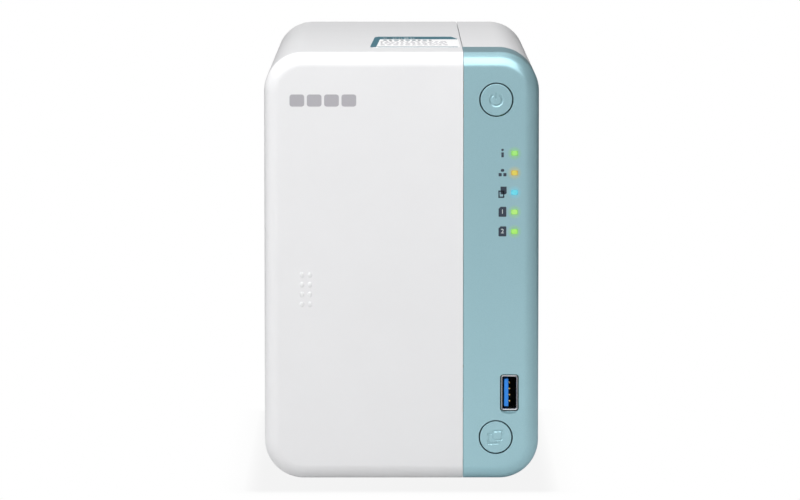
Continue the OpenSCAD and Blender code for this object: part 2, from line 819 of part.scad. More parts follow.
module fan_frame() {
    ya = fan_y0;
    yb = fan_y1;
    color(dark) translate([fan_x, 0, fan_z]) {
        difference() {
            block([-fan_side / 2, ya, -fan_side / 2], [fan_side / 2, yb, fan_side / 2]);
            rod_y(fan_hole_r, ya - 1, yb + 1, 0, 0);
            for (sx = [-1, 1], sz = [-1, 1]) {
                rod_y(1.9, ya - 1, yb + 1, sx * fan_screw_at, sz * fan_screw_at);
            }
        }
        difference() {
            union() {
                rod_y(hub_r, yb - 3, yb, 0, 0);
                rod_y(4, ya + 6, yb - 2.9, 0, 0);
                for (a = [0, 90, 180, 270]) {
                    rotate([0, a + 20, 0]) block([hub_r - 1, yb - 2.5, -1.5], [fan_hole_r + 1, yb, 1.5]);
                }
            }
            rod_y(2.6, ya + 5, yb - 1, 0, 0);
        }
    }
}

module fan_bearing() {
    color([0.72, 0.52, 0.25]) translate([fan_x, 0, fan_z]) difference() {
        rod_y(2.6, fan_y0 + 7, fan_y1 - 3, 0, 0);
        rod_y(bearing_r, fan_y0 + 6, fan_y1 - 2, 0, 0);
    }
}

module fan_rotor() {
    ya = fan_y0 + 2;
    yb = fan_y1 - 4.5;
    color([0.16, 0.16, 0.17]) translate([fan_x, 0, fan_z]) {
        difference() {
            rod_y(hub_r, ya, yb, 0, 0);
            rod_y(hub_r - 1.5, ya + 1.5, yb + 1, 0, 0);
        }
        rod_y(shaft_r, ya + 1, fan_y1 - 5, 0, 0);
        difference() {
            for (n = [0:blade_count - 1]) {
                rotate([0, n * 360 / blade_count, 0]) translate([(hub_r + blade_r) / 2, (ya + yb) / 2, 0])
                    rotate([38, 0, 0]) cube([blade_r - hub_r + 2, 1.3, 21], center = true);
            }
            rod_y(hub_r - 0.7, ya - 10, yb + 10, 0, 0);
            difference() {
                rod_y(60, ya - 10, yb + 10, 0, 0);
                rod_y(blade_r, ya - 11, yb + 11, 0, 0);
            }
        }
    }
}

module fan_screws() {
    color(steel) for (sx = [-1, 1], sz = [-1, 1]) {
        x = fan_x + sx * fan_screw_at;
        z = fan_z + sz * fan_screw_at;
        rod_y(1.8, fan_y0 + 8, panel_y1, x, z);
        rod_y(3.4, panel_y1, panel_y1 + 0.9, x, z);
    }
}

// screws of the rear panel, the cage, the backplane and the front board
module case_screws() {
    color(steel) {
        for (x = [-28, 12]) {
            rod_y(screw_r, panel_y0 - 6.5, panel_y1 + 0.01, x, z0 + 5.5);
            rod_y(2.8, panel_y1, panel_y1 + 0.9, x, z0 + 5.5);
        }
        for (z = [30, 140]) {
            rod_y(screw_r, panel_y0 - 3, panel_y1 + 0.01, wall_x0 - 4, z);
            rod_y(2.8, panel_y1, panel_y1 + 0.9, wall_x0 - 4, z);
        }
        for (x = [-28, 12], y = [-70, 48]) {
            rod_z(screw_r, cage_z0 - 8, cage_z0 + cage_t + 0.01, x, y);
        }
        for (x = plane_screw_x, z = plane_screw_z) {
            rod_y(screw_r, plane_y0 - 1.4, plane_y0 + plane_t + 0.01, x, z);
            rod_y(2.7, plane_y0 + plane_t, plane_y0 + plane_t + 1.4, x, z);
        }
        for (z = board_screw_z) {
            rod_y(screw_r, front_board_y0 - 4, front_board_y0 + front_board_t + 0.01, 30, z);
            rod_y(2.7, front_board_y0 + front_board_t, front_board_y0 + front_board_t + 1.4, 30, z);
        }
    }
}

// ---------- drawing ----------

cover_shell();
cover_mark();
top_sticker();
front_bezel();
side_shell();
base_pan();
rear_panel();
bay_frame();
feet();
status_icons();
light_pipes();
power_button();
copy_button();
front_usb_shell();
front_usb_tongue();
front_usb_contacts();
front_board();
front_switches();
status_leds();
ribbon_cable();
cage_walls();
cage_decks();
cage_tabs();
centre_wall();
tray_1();
tray_2();
latch_1();
latch_2();
latch_pin_1();
latch_pin_2();
drive_1();
drive_2();
drive_1_board();
drive_2_board();
drive_1_screws();
drive_2_screws();
backplane_board();
drive_connectors();
link_connector();
main_board();
board_standoffs();
board_screws();
chips();
capacitors();
coils();
heat_sink();
coin_cell();
cell_holder();
lan_socket();
rear_usb_shells();
rear_usb_tongues();
power_jack();
reset_button();
reset_switch();
fan_frame();
fan_bearing();
fan_rotor();
fan_screws();
case_screws();
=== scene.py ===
"""Looks for the two-bay network attached storage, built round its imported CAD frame.

Lengths are in metres in the row frame: X right, Y back, Z up, origin on the table under the body.
"""
import json
from math import cos, pi, radians, sin
import random

import bmesh
import bpy
from mathutils import Matrix, Vector

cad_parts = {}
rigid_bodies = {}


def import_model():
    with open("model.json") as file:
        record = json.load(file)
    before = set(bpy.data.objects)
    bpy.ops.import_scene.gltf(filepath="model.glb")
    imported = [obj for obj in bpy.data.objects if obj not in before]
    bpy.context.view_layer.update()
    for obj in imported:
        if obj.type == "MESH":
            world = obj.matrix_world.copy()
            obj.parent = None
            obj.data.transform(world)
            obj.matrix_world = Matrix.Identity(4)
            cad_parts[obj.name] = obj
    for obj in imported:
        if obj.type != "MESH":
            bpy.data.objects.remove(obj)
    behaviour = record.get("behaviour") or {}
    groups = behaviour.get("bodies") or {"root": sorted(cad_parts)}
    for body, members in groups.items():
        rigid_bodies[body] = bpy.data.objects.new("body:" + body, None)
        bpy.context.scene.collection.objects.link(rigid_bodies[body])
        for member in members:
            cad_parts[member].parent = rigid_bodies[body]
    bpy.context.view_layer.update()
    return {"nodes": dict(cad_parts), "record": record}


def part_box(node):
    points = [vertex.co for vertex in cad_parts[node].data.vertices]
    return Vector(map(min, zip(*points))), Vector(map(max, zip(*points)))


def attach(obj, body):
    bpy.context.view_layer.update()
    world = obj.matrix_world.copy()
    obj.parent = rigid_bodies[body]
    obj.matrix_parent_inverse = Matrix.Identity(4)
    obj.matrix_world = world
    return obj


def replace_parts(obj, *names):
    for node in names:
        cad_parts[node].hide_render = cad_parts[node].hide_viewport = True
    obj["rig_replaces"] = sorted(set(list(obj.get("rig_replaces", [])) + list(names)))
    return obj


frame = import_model()

NODES = frame["nodes"]
BODIES = frame["record"]["behaviour"]["bodies"]
BODY_OF = {node: body for body, members in BODIES.items() for node in members}
SLOT_OF = {part["node"]: part["material_slot"] for part in frame["record"]["subparts"]}
MM = 0.001

# -------------------- sizes in metres

SHELL_LOW, SHELL_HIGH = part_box("side_shell")
BEZEL_LOW, BEZEL_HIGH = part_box("front_bezel")
BASE_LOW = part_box("base_pan")[0]
HALF_W = BEZEL_HIGH.x
FRONT_Y = BEZEL_LOW.y
REAR_Y = SHELL_HIGH.y
BOTTOM_Z = BEZEL_LOW.z
TOP_Z = BEZEL_HIGH.z
MIDDLE_Z = (TOP_Z + BOTTOM_Z) / 2
SEAM_RIGHT = BEZEL_LOW.x
SEAM_LEFT = SEAM_RIGHT - 0.15 * MM
SEAM_TOP = SEAM_RIGHT + 0.2 * MM
WALL = 2.4 * MM
CORNER = 15 * MM
EDGE = 5.8 * MM
CAP_R = 6.05 * MM
CAP_GAP = 0.5 * MM
LEAD_PITCH = 0.8 * MM
GRIP_X = -38.1 * MM
GRIP_Z = 71.6 * MM
GRIP_PITCH = (3 * MM, 3.77 * MM)
SIGN_STROKE = 0.5 * MM
SIGN_DEPTH = 0.22 * MM
HUB_R = 13 * MM
FAN_REACH = 31.8 * MM
FAN_BLADES = 7

# sizes in mm, for slabs and profiles
LAMP_W = 2.5
LAMP_H = 1.9
USB_OPENING = (7.15, 14.2)
THREAD_PITCH = 0.5
WIRE_PITCH = 1.02

ROUND_STEPS = 96
BLADE_SPANS = 9
BLADE_CHORDS = 9
WELD = 0.002 * MM
BUMP_DEPTH = 0.05 * MM
SHARP = radians(35)
QUARTERS = ((1, 1, 0), (-1, 1, 90), (-1, -1, 180), (1, -1, 270))
FORWARD = (0, -1, 0)
REARWARD = (0, 1, 0)
RIGHTWARD = (1, 0, 0)
LEFTWARD = (-1, 0, 0)
UPWARD = (0, 0, 1)


# -------------------- node and material helpers

def feed(tree, node, inputs):
    """Links each input that is given a socket and sets each that is given a value."""
    for name, value in inputs.items():
        if isinstance(value, bpy.types.NodeSocket):
            tree.links.new(value, node.inputs[name])
        else:
            node.inputs[name].default_value = value


def add_node(tree, kind, inputs, output, **settings):
    """The named output of a new node, which gets its settings before its inputs."""
    node = tree.nodes.new("ShaderNode" + kind)
    for name, value in settings.items():
        setattr(node, name, value)
    feed(tree, node, inputs)
    return node.outputs[output]


def new_material(name):
    """A material with its node tree and its Principled shader."""
    material = bpy.data.materials.new(name)
    material.use_nodes = True
    tree = material.node_tree
    return material, tree, tree.nodes["Principled BSDF"]


def place(tree):
    """Position on the object, in metres in the row frame."""
    return add_node(tree, "TexCoord", {}, "Object")


def axis_part(tree, vector, axis):
    return add_node(tree, "SeparateXYZ", {"Vector": vector}, axis)


def noise(tree, vector, scale, detail, roughness=0.55):
    inputs = {"Scale": scale, "Detail": detail, "Roughness": roughness, "Vector": vector}
    return add_node(tree, "TexNoise", inputs, "Fac")


def math_node(tree, operation, *values):
    return add_node(tree, "Math", dict(enumerate(values)), "Value", operation=operation)


def ramp(tree, value, stops):
    """Colours along a value: stops are (position, (r, g, b))."""
    node = tree.nodes.new("ShaderNodeValToRGB")
    points = node.color_ramp.elements
    while len(points) < len(stops):
        points.new(0.5)
    for point, (position, colour) in zip(points, stops):
        point.position = position
        point.color = (*colour, 1)
    feed(tree, node, {"Fac": value})
    return node.outputs["Color"]


def remap(tree, value, low, high):
    """A 0 to 1 value brought to low to high."""
    return add_node(tree, "MapRange", {"To Min": low, "To Max": high, "Value": value}, "Result")


def smooth_change(tree, value, start, end, first, last):
    """A smooth change from first to last as a value goes from start to end."""
    inputs = {"From Min": start, "From Max": end, "To Min": first, "To Max": last, "Value": value}
    return add_node(tree, "MapRange", inputs, "Result", interpolation_type="SMOOTHSTEP")


def near(tree, point, inner, outer):
    """1 within a distance of a point, falling to 0 further out."""
    apart = add_node(tree, "VectorMath", {0: place(tree), 1: point}, "Value", operation="DISTANCE")
    return smooth_change(tree, apart, inner, outer, 1.0, 0.0)


def bump(tree, height, strength):
    return add_node(tree, "Bump", {"Strength": strength, "Distance": BUMP_DEPTH, "Height": height}, "Normal")


def shade(colour, factor):
    return tuple(min(1.0, channel * factor) for channel in colour)


def mottled(tree, value, colour, amount, start):
    """A colour that gets a little darker and lighter with a value."""
    stops = [(start, shade(colour, 1 - amount)), (1 - start, shade(colour, 1 + amount))]
    return ramp(tree, value, stops)


def plastic(name, colour, rough, grain=0.35 * MM, relief=0.06, mottle=0.02, coat=0.0, specular=0.5):
    """Moulded plastic: a fine spark-eroded grain, slightly uneven gloss and colour."""
    material, tree, shader = new_material(name)
    at = place(tree)
    grains = noise(tree, at, 1 / grain, 2, 0.6)
    feed(tree, shader, {
        "Base Color": mottled(tree, noise(tree, at, 40, 4), colour, mottle, 0.3),
        "Roughness": remap(tree, grains, rough - 0.05, rough + 0.05),
        "Normal": bump(tree, grains, relief),
        "Specular IOR Level": specular,
        "Coat Weight": coat,
        "Coat Roughness": 0.12,
    })
    return material


def metal(name, colour, rough, brush=(1, 1, 1), relief=0.05, grain=0.5 * MM, mottle=0.06):
    """Bare metal with brush lines along the axis whose factor is small."""
    material, tree, shader = new_material(name)
    drawn_out = add_node(tree, "Mapping", {"Scale": brush, "Vector": place(tree)}, "Vector")
    lines = noise(tree, drawn_out, 1 / grain, 4, 0.6)
    feed(tree, shader, {
        "Base Color": mottled(tree, lines, colour, mottle, 0.25),
        "Metallic": 1.0,
        "Roughness": remap(tree, lines, rough - 0.07, rough + 0.07),
        "Normal": bump(tree, lines, relief),
    })
    return material


def pearl_lacquer(name, painted_lamp_halos=()):
    """Pale blue lacquer with a fine mica flake under a clear coat, with each lit lamp's glow painted round
    it.

    The (point, colour) pairs give where each painted lamp glow sits and its colour.
    """
    material, tree, shader = new_material(name)
    at = place(tree)
    flakes = add_node(tree, "TexVoronoi", {"Scale": 3500, "Vector": at}, "Distance")
    pale, middle, deep = (0.44, 0.69, 0.76), (0.405, 0.65, 0.715), (0.375, 0.62, 0.69)
    flake_colour_and_glow = ramp(tree, flakes, [(0.0, pale), (0.5, middle), (1.0, deep)])
    # painted glow: near each lit lamp the lacquer's colour is mixed towards the colour of that lamp's light
    for point, colour in painted_lamp_halos:
        glow = remap(tree, near(tree, point, 1.3 * MM, 3.0 * MM), 0.0, 0.8)
        mix = {"Factor": glow, "A": flake_colour_and_glow, "B": (*colour, 1)}
        flake_colour_and_glow = add_node(tree, "Mix", mix, "Result", data_type="RGBA")
    orange_peel = noise(tree, at, 900, 2, 0.5)
    feed(tree, shader, {
        "Base Color": flake_colour_and_glow,
        "Metallic": 0.5,
        "Roughness": remap(tree, orange_peel, 0.27, 0.34),
        "Normal": bump(tree, orange_peel, 0.02),
        "Specular Tint": (0.46, 0.66, 0.80, 1),
        "Coat Weight": 0.35,
        "Coat Roughness": 0.12,
    })
    return material


def circuit_board():
    """Green solder mask with traces showing through and a slight weave."""
    material, tree, shader = new_material("circuit_board")
    turn = (0, radians(90), 0)
    turned = add_node(tree, "Mapping", {"Rotation": turn, "Vector": place(tree)}, "Vector")
    traces = tree.nodes.new("ShaderNodeTexBrick")
    feed(tree, traces, {
        "Scale": 160,
        "Mortar Size": 0.03,
        "Color1": (0.018, 0.115, 0.060, 1),
        "Color2": (0.022, 0.135, 0.072, 1),
        "Mortar": (0.045, 0.215, 0.115, 1),
        "Vector": turned,
    })
    relief = bump(tree, traces.outputs["Fac"], 0.2)
    feed(tree, shader, {"Base Color": traces.outputs["Color"], "Roughness": 0.32, "Normal": relief})
    return material


def glowing(name, point, core, rim):
    """Lit tip of a light pipe: its own colour in the middle, deeper at its edge."""
    material, tree, shader = new_material(name)
    centre = near(tree, point, 0.5 * MM, 1.45 * MM)
    grain = noise(tree, place(tree), 1500, 2)
    feed(tree, shader, {
        "Base Color": ramp(tree, grain, [(0.3, shade(rim, 0.12)), (0.7, shade(core, 0.2))]),
        "Emission Color": ramp(tree, centre, [(0.0, rim), (0.7, core)]),
        "Emission Strength": 0.8,
        "Roughness": 0.3,
    })
    return material


# name, colour, roughness, other settings
PLASTICS = (
    ("white_shell", (0.83, 0.83, 0.84), 0.36, dict(relief=0.05, mottle=0.008, coat=0.12)),
    ("white_inside", (0.74, 0.74, 0.75), 0.5, {}),
    ("rear_plastic", (0.66, 0.66, 0.67), 0.5, dict(grain=0.5 * MM, relief=0.14)),
    ("charcoal_plastic", (0.030, 0.032, 0.036), 0.5, dict(grain=0.5 * MM, relief=0.15, mottle=0.1)),
    ("black_plastic", (0.012, 0.012, 0.013), 0.42, dict(relief=0.1, mottle=0.1)),
    ("fan_plastic", (0.016, 0.016, 0.017), 0.36, dict(mottle=0.1)),
    ("latch_blue", (0.13, 0.32, 0.38), 0.38, dict(relief=0.08)),
    ("blue_tongue", (0.02, 0.24, 0.80), 0.3, dict(relief=0.04)),
    ("ivory_plastic", (0.66, 0.62, 0.50), 0.45, dict(relief=0.08)),
    ("ribbon_film", (0.70, 0.70, 0.67), 0.3, dict(relief=0.05)),
    ("led_resin", (0.85, 0.83, 0.66), 0.2, dict(relief=0.02)),
    ("rubber_foot", (0.018, 0.018, 0.018), 0.75,
     dict(grain=0.25 * MM, relief=0.25, mottle=0.12, specular=0.3)),
    ("slate_print", (0.028, 0.042, 0.065), 0.5, dict(relief=0.03)),
    ("grey_print", (0.44, 0.43, 0.46), 0.45, dict(relief=0.03)),
    ("pale_print", (0.62, 0.68, 0.70), 0.45, dict(relief=0.03)),
    ("sticker_film", (0.95, 0.95, 0.95), 0.4, dict(relief=0.02, mottle=0.005)),
    ("teal_print", (0.035, 0.17, 0.23), 0.3, dict(relief=0.03)),
    ("chip_resin", (0.016, 0.016, 0.017), 0.55, dict(grain=0.2 * MM, relief=0.15, mottle=0.1)),
    ("coil_ferrite", (0.05, 0.05, 0.052), 0.6, dict(relief=0.3, mottle=0.12)),
)
METALS = (
    ("socket_steel", (0.47, 0.47, 0.49), 0.26, dict(brush=(1, 0.15, 1), grain=0.2 * MM)),
    ("sheet_steel", (0.52, 0.53, 0.55), 0.36, dict(brush=(1, 0.06, 1), grain=0.4 * MM)),
    ("screw_steel", (0.55, 0.56, 0.58), 0.3, {}),
    ("black_screw", (0.06, 0.06, 0.065), 0.4, dict(mottle=0.15)),
    ("cell_steel", (0.66, 0.67, 0.69), 0.28, dict(brush=(1, 1, 0.1))),
    ("gold_contact", (0.83, 0.57, 0.21), 0.22, {}),
    ("brass_post", (0.66, 0.46, 0.18), 0.3, {}),
    ("bronze_bush", (0.42, 0.26, 0.12), 0.42, {}),
    ("drive_casting", (0.48, 0.49, 0.51), 0.48, dict(grain=0.35 * MM, relief=0.22)),
    ("drive_lid", (0.66, 0.67, 0.69), 0.27, dict(brush=(1, 0.05, 1), grain=0.35 * MM)),
    ("capacitor_can", (0.45, 0.47, 0.52), 0.3, {}),
    ("sink_aluminium", (0.50, 0.52, 0.56), 0.35, dict(brush=(1, 1, 0.06))),
)
MATERIALS = {"pearl_blue": pearl_lacquer("pearl_blue"), "board": circuit_board()}
for make, looks in ((plastic, PLASTICS), (metal, METALS)):
    for name, colour, rough, settings in looks:
        MATERIALS[name] = make(name, colour, rough, **settings)

# each status light from the top down: name, colour in its middle, at its rim, and of its glow painted on the
# bezel round it
LED_LOOKS = (
    ("led_green", (0.386, 0.831, 0.216), (0.25, 0.70, 0.12), (0.40, 0.76, 0.45)),
    ("led_amber", (0.753, 0.645, 0.114), (0.62, 0.36, 0.05), (0.62, 0.68, 0.45)),
    ("led_cyan", (0.165, 0.716, 0.839), (0.08, 0.58, 0.80), (0.34, 0.74, 0.86)),
    ("led_green_upper", (0.491, 0.871, 0.223), (0.28, 0.74, 0.12), (0.42, 0.76, 0.45)),
    ("led_green_lower", (0.429, 0.871, 0.171), (0.25, 0.74, 0.10), (0.42, 0.76, 0.45)),
)


# -------------------- mesh helpers

def show(obj):
    bpy.context.scene.collection.objects.link(obj)
    return obj


def mesh_object(name, bm, outward=True):
    """A scene object that takes over the mesh in bm."""
    if outward:
        bmesh.ops.recalc_face_normals(bm, faces=bm.faces)
    mesh = bpy.data.meshes.new(name)
    bm.to_mesh(mesh)
    bm.free()
    return show(bpy.data.objects.new(name, mesh))


def settle(obj, material, body, slot, replaces=(), smooth=True):
    """Gives an object its material, shading and body, and the CAD nodes it replaces; its slot is not used.
    """
    obj.data.materials.clear()
    obj.data.materials.append(MATERIALS[material] if isinstance(material, str) else material)
    obj.data.polygons.foreach_set("use_smooth", [smooth] * len(obj.data.polygons))
    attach(obj, body)
    if replaces:
        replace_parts(obj, *replaces)


def add_piece(name, bm, material, replaces=(), body="chassis", slot=None, smooth=True, edge=0, steps=2):
    """A finished mesh in the scene, riding on its body, with an edge radius in mm if it has one.

    The slot it is given is not used.
    """
    obj = mesh_object(name, bm)
    settle(obj, material, body, slot or material, replaces, smooth)
    if edge:
        round_edges(obj, edge * MM, steps)


def span(node):
    """A CAD node's low corner, high corner and middle."""
    low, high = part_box(node)
    return low, high, (low + high) / 2


def baked(obj):
    """The object with its modifiers applied."""
    graph = bpy.context.evaluated_depsgraph_get()
    mesh = bpy.data.meshes.new_from_object(obj.evaluated_get(graph))
    obj.modifiers.clear()
    obj.data = mesh
    return obj


def round_edges(obj, width, segments=2):
    """A small radius on every sharp edge, then normals that keep the flats flat."""
    edge = obj.modifiers.new("edges", "BEVEL")
    edge.width = width
    edge.segments = segments
    edge.limit_method = "ANGLE"
    edge.angle_limit = SHARP
    edge.use_clamp_overlap = True
    normals = obj.modifiers.new("normals", "WEIGHTED_NORMAL")
    normals.keep_sharp = False
    normals.weight = 80


def soften_cad(node, material):
    """A CAD node that keeps its shape: joined faces, small edge radii and a real material."""
    obj = NODES[node]
    faces = obj.data.polygons
    obj.data.materials.clear()
    obj.data.materials.append(MATERIALS[material])
    faces.foreach_set("material_index", [0] * len(faces))
    faces.foreach_set("use_smooth", [True] * len(faces))
    weld = obj.modifiers.new("weld", "WELD")
    weld.merge_threshold = WELD
    flat = obj.modifiers.new("flats", "DECIMATE")
    flat.decimate_type = "DISSOLVE"
    flat.angle_limit = radians(1)
    round_edges(obj, 0.2 * MM)


def box(bm, low, high):
    """A closed box between two corners."""
    low, high = Vector(low), Vector(high)
    middle = Matrix.Translation((low + high) / 2) @ Matrix.Diagonal((*(high - low), 1))
    bmesh.ops.create_cube(bm, size=1, matrix=middle)


def facing(point, direction):
    """Turns +Z into the direction, at a point."""
    return Matrix.Translation(point) @ Vector(direction).to_track_quat("Z", "Y").to_matrix().to_4x4()


def cylinder(bm, radius, start, end, segments):
    """A closed round bar between two points."""
    start, end = Vector(start), Vector(end)
    bmesh.ops.create_cone(bm, cap_ends=True, segments=segments, radius1=radius, radius2=radius,
                          depth=(end - start).length, matrix=facing((start + end) / 2, end - start))


def lathe(bm, profile, place_at, segments=48):
    """A closed solid of revolution. profile is (radius, height) in mm from the axis round to the axis."""
    turn = [2 * pi * n / segments for n in range(segments)]
    rings = []
    for radius, height in profile:
        angles = turn if radius else [0]
        points = [Vector((radius * cos(a), radius * sin(a), height)) * MM for a in angles]
        rings.append([bm.verts.new(place_at @ point) for point in points])
    for lower, upper in zip(rings, rings[1:]):
        for n in range(segments):
            m = (n + 1) % segments
            if len(lower) == 1 and len(upper) > 1:
                bm.faces.new((lower[0], upper[m], upper[n]))
            elif len(upper) == 1 and len(lower) > 1:
                bm.faces.new((lower[n], lower[m], upper[0]))
            elif len(lower) > 1:
                bm.faces.new((lower[n], lower[m], upper[m], upper[n]))


def loft(bm, rings, closed=False):
    """Faces between neighbouring rings of points, and from the last ring to the first if closed."""
    rings = [[bm.verts.new(point) for point in ring] for ring in rings]
    following = rings[1:] + rings[:1] if closed else rings[1:]
    for this, other in zip(rings, following):
        for n in range(len(this)):
            m = (n + 1) % len(this)
            bm.faces.new((this[m], this[n], other[n], other[m]))
    return rings


def prism(bm, outline, to_point, depth):
    """A flat outline made solid. to_point turns (u, v, depth) into a point."""
    front = [bm.verts.new(to_point(u, v, 0)) for u, v in outline]
    back = [bm.verts.new(to_point(u, v, depth)) for u, v in outline]
    bm.faces.new(front)
    bm.faces.new(back[::-1])
    for n in range(len(outline)):
        m = (n + 1) % len(outline)
        bm.faces.new((front[m], front[n], back[n], back[m]))


def rounded(width, height, radius, at=(0, 0), steps=6):
    """Outline of a rounded rectangle round a point."""
    points = []
    for sx, sz, start in QUARTERS:
        for n in range(steps + 1):
            a = radians(start + 90 * n / steps)
            points.append((at[0] + sx * (width / 2 - radius) + radius * cos(a),
                           at[1] + sz * (height / 2 - radius) + radius * sin(a)))
    return points


def slab(bm, width, height, radius, at, plane, depth):
    """A rounded plate, measured in mm, with its face round a point of a plane."""
    prism(bm, rounded(width * MM, height * MM, radius * MM, at), plane, depth * MM)


def cut(obj, bm, operation="DIFFERENCE"):
    """Takes the solids in bm away from an object, or adds them."""
    cutter = mesh_object("cutter", bm)
    mesh = cutter.data
    tool = obj.modifiers.new("cut", "BOOLEAN")
    tool.operation = operation
    tool.solver = "EXACT"
    tool.use_self = operation == "UNION"
    tool.object = cutter
    baked(obj)
    bpy.data.objects.remove(cutter)
    bpy.data.meshes.remove(mesh)


def front_plane(y):
    """Maps (x, z, depth) to a plane that faces the front."""
    return lambda u, v, depth: Vector((u, y + depth, v))


def top_plane(z):
    """Maps (x, y, depth) to a plane that faces up."""
    return lambda u, v, depth: Vector((u, v, z - depth))


def side_plane(x):
    """Maps (y, z, depth) to a plane that faces right."""
    return lambda u, v, depth: Vector((x - depth, u, v))


def socket_plane(x, mouth_y, z, inward):
    """Maps (right, up, depth) from a socket's mouth; inward is the sign of Y that goes into it."""
    return lambda u, v, depth: Vector((x + u, mouth_y + inward * depth, z + v))


# -------------------- the case

def case_ring(inset, y, steps=24):
    """Points of the case's section at a depth, shrunk by inset."""
    radius = CORNER - inset
    half_x = HALF_W - CORNER
    half_z = (TOP_Z - BOTTOM_Z) / 2 - CORNER
    points = []
    for sx, sz, start in QUARTERS:
        for n in range(steps + 1):
            a = radians(start + 90 * n / steps)
            points.append(Vector((sx * half_x + radius * cos(a), y,
                                  MIDDLE_Z + sz * half_z + radius * sin(a))))
    return points


def case_skin(steps=14):
    """The outer surface of the whole case, open at the back, with its rounded front edge."""
    bm = bmesh.new()
    turns = [radians(90 * n / steps) for n in range(steps + 1)]
    rings = [case_ring(EDGE * (1 - sin(a)), FRONT_Y + EDGE * (1 - cos(a))) for a in turns]
    rings = loft(bm, rings + [case_ring(0, REAR_Y)])
    bm.faces.new(rings[0])
    return bm


def case_wall(name, *planes):
    """The part of the skin behind every (point, normal) plane, given the case's wall thickness."""
    bm = case_skin()
    for point, normal in planes:
        geometry = bm.verts[:] + bm.edges[:] + bm.faces[:]
        bmesh.ops.bisect_plane(bm, geom=geometry, dist=1e-7, plane_co=point, plane_no=normal,
                               clear_outer=True)
    bmesh.ops.recalc_face_normals(bm, faces=bm.faces)
    front = max(bm.faces, key=lambda face: face.calc_area())
    if front.normal.dot(front.calc_center_median() - Vector((0, 0, MIDDLE_Z))) < 0:
        bmesh.ops.reverse_faces(bm, faces=bm.faces)
    obj = mesh_object(name, bm, outward=False)
    wall = obj.modifiers.new("wall", "SOLIDIFY")
    wall.thickness = WALL
    wall.offset = -1
    wall.use_even_offset = True
    return baked(obj)


def grip_dots(bm):
    """Two columns of four small domes."""
    arc = [radians(15 * n) for n in range(6)]
    profile = [(0, 0)] + [(0.85 * cos(a), 0.34 + 0.24 * sin(a)) for a in arc] + [(0, 0.58)]
    turn = Matrix.Rotation(radians(90), 4, "X") @ Matrix.Diagonal((1, 1.25, 1, 1))
    for column in range(2):
        for row in range(4):
            at = (GRIP_X + GRIP_PITCH[0] * column, FRONT_Y + 0.35 * MM, GRIP_Z + GRIP_PITCH[1] * row)
            lathe(bm, profile, Matrix.Translation(at) @ turn, 24)


def cover_tongues(bm):
    """Tongues that tuck behind the bezel and under the side shell, with their feet."""
    top, front, root = TOP_Z - WALL, FRONT_Y + WALL, SEAM_LEFT - 4 * MM
    for y in (-66 * MM, -6 * MM, 60 * MM):
        box(bm, (root, y, top - 2.4 * MM), (SEAM_LEFT + 3 * MM, y + 18 * MM, top - 0.4 * MM))
        box(bm, (root, y, top - 1 * MM), (SEAM_LEFT - 1 * MM, y + 18 * MM, top + 0.2 * MM))
    for z in (48 * MM, 112 * MM):
        box(bm, (root, front + 0.4 * MM, z), (SEAM_LEFT + 1.8 * MM, front + 2 * MM, z + 14 * MM))
        box(bm, (root, front - 0.2 * MM, z), (SEAM_LEFT - 1 * MM, front + 1 * MM, z + 14 * MM))


def cover_ribs(bm):
    """Stiffening ribs inside the cover's roof and side, seen when it is off."""
    roof, side = TOP_Z - WALL, -HALF_W + WALL
    for n in range(6):
        y = -84 * MM + 34 * MM * n
        box(bm, (-44 * MM, y, roof - 1.2 * MM), (18 * MM, y + 1.2 * MM, roof + 0.3 * MM))
    for n in range(4):
        z = 30 * MM + 34 * MM * n
        box(bm, (side - 0.3 * MM, -95 * MM, z), (side + 0.8 * MM, 100 * MM, z + 1.2 * MM))


def make_cover():
    obj = case_wall("cover", ((SEAM_LEFT, 0, 0), RIGHTWARD))
    floor_cut = bmesh.new()
    box(floor_cut, (BASE_LOW.x - 0.3 * MM, BASE_LOW.y - 0.3 * MM, BOTTOM_Z - MM),
        (HALF_W, REAR_Y + MM, BOTTOM_Z + WALL + MM))
    cut(obj, floor_cut)
    for adder in (grip_dots, cover_tongues, cover_ribs):
        extra = bmesh.new()
        adder(extra)
        cut(obj, extra, "UNION")
    settle(obj, "white_shell", "slide_cover", "white_shell", ["cover_shell"])
    round_edges(obj, 0.16 * MM)


def light_spots():
    """(x, z) of each status light, from the top down."""
    low, high, middle = span("light_pipes")
    top, bottom = high.z - 1.5 * MM, low.z + 1.5 * MM
    return [(middle.x, top + (bottom - top) * n / 4) for n in range(5)]


def usb_scoop(x, z):
    """A shallow finger scoop under the front USB opening."""
    bm = bmesh.new()
    at = Matrix.Translation((x, FRONT_Y - 0.35 * MM, z - USB_OPENING[1] / 2 * MM))
    size = Matrix.Diagonal((3.2 * MM, 1.5 * MM, 1.0 * MM, 1))
    bmesh.ops.create_uvsphere(bm, u_segments=48, v_segments=24, radius=1, matrix=at @ size)
    return bm


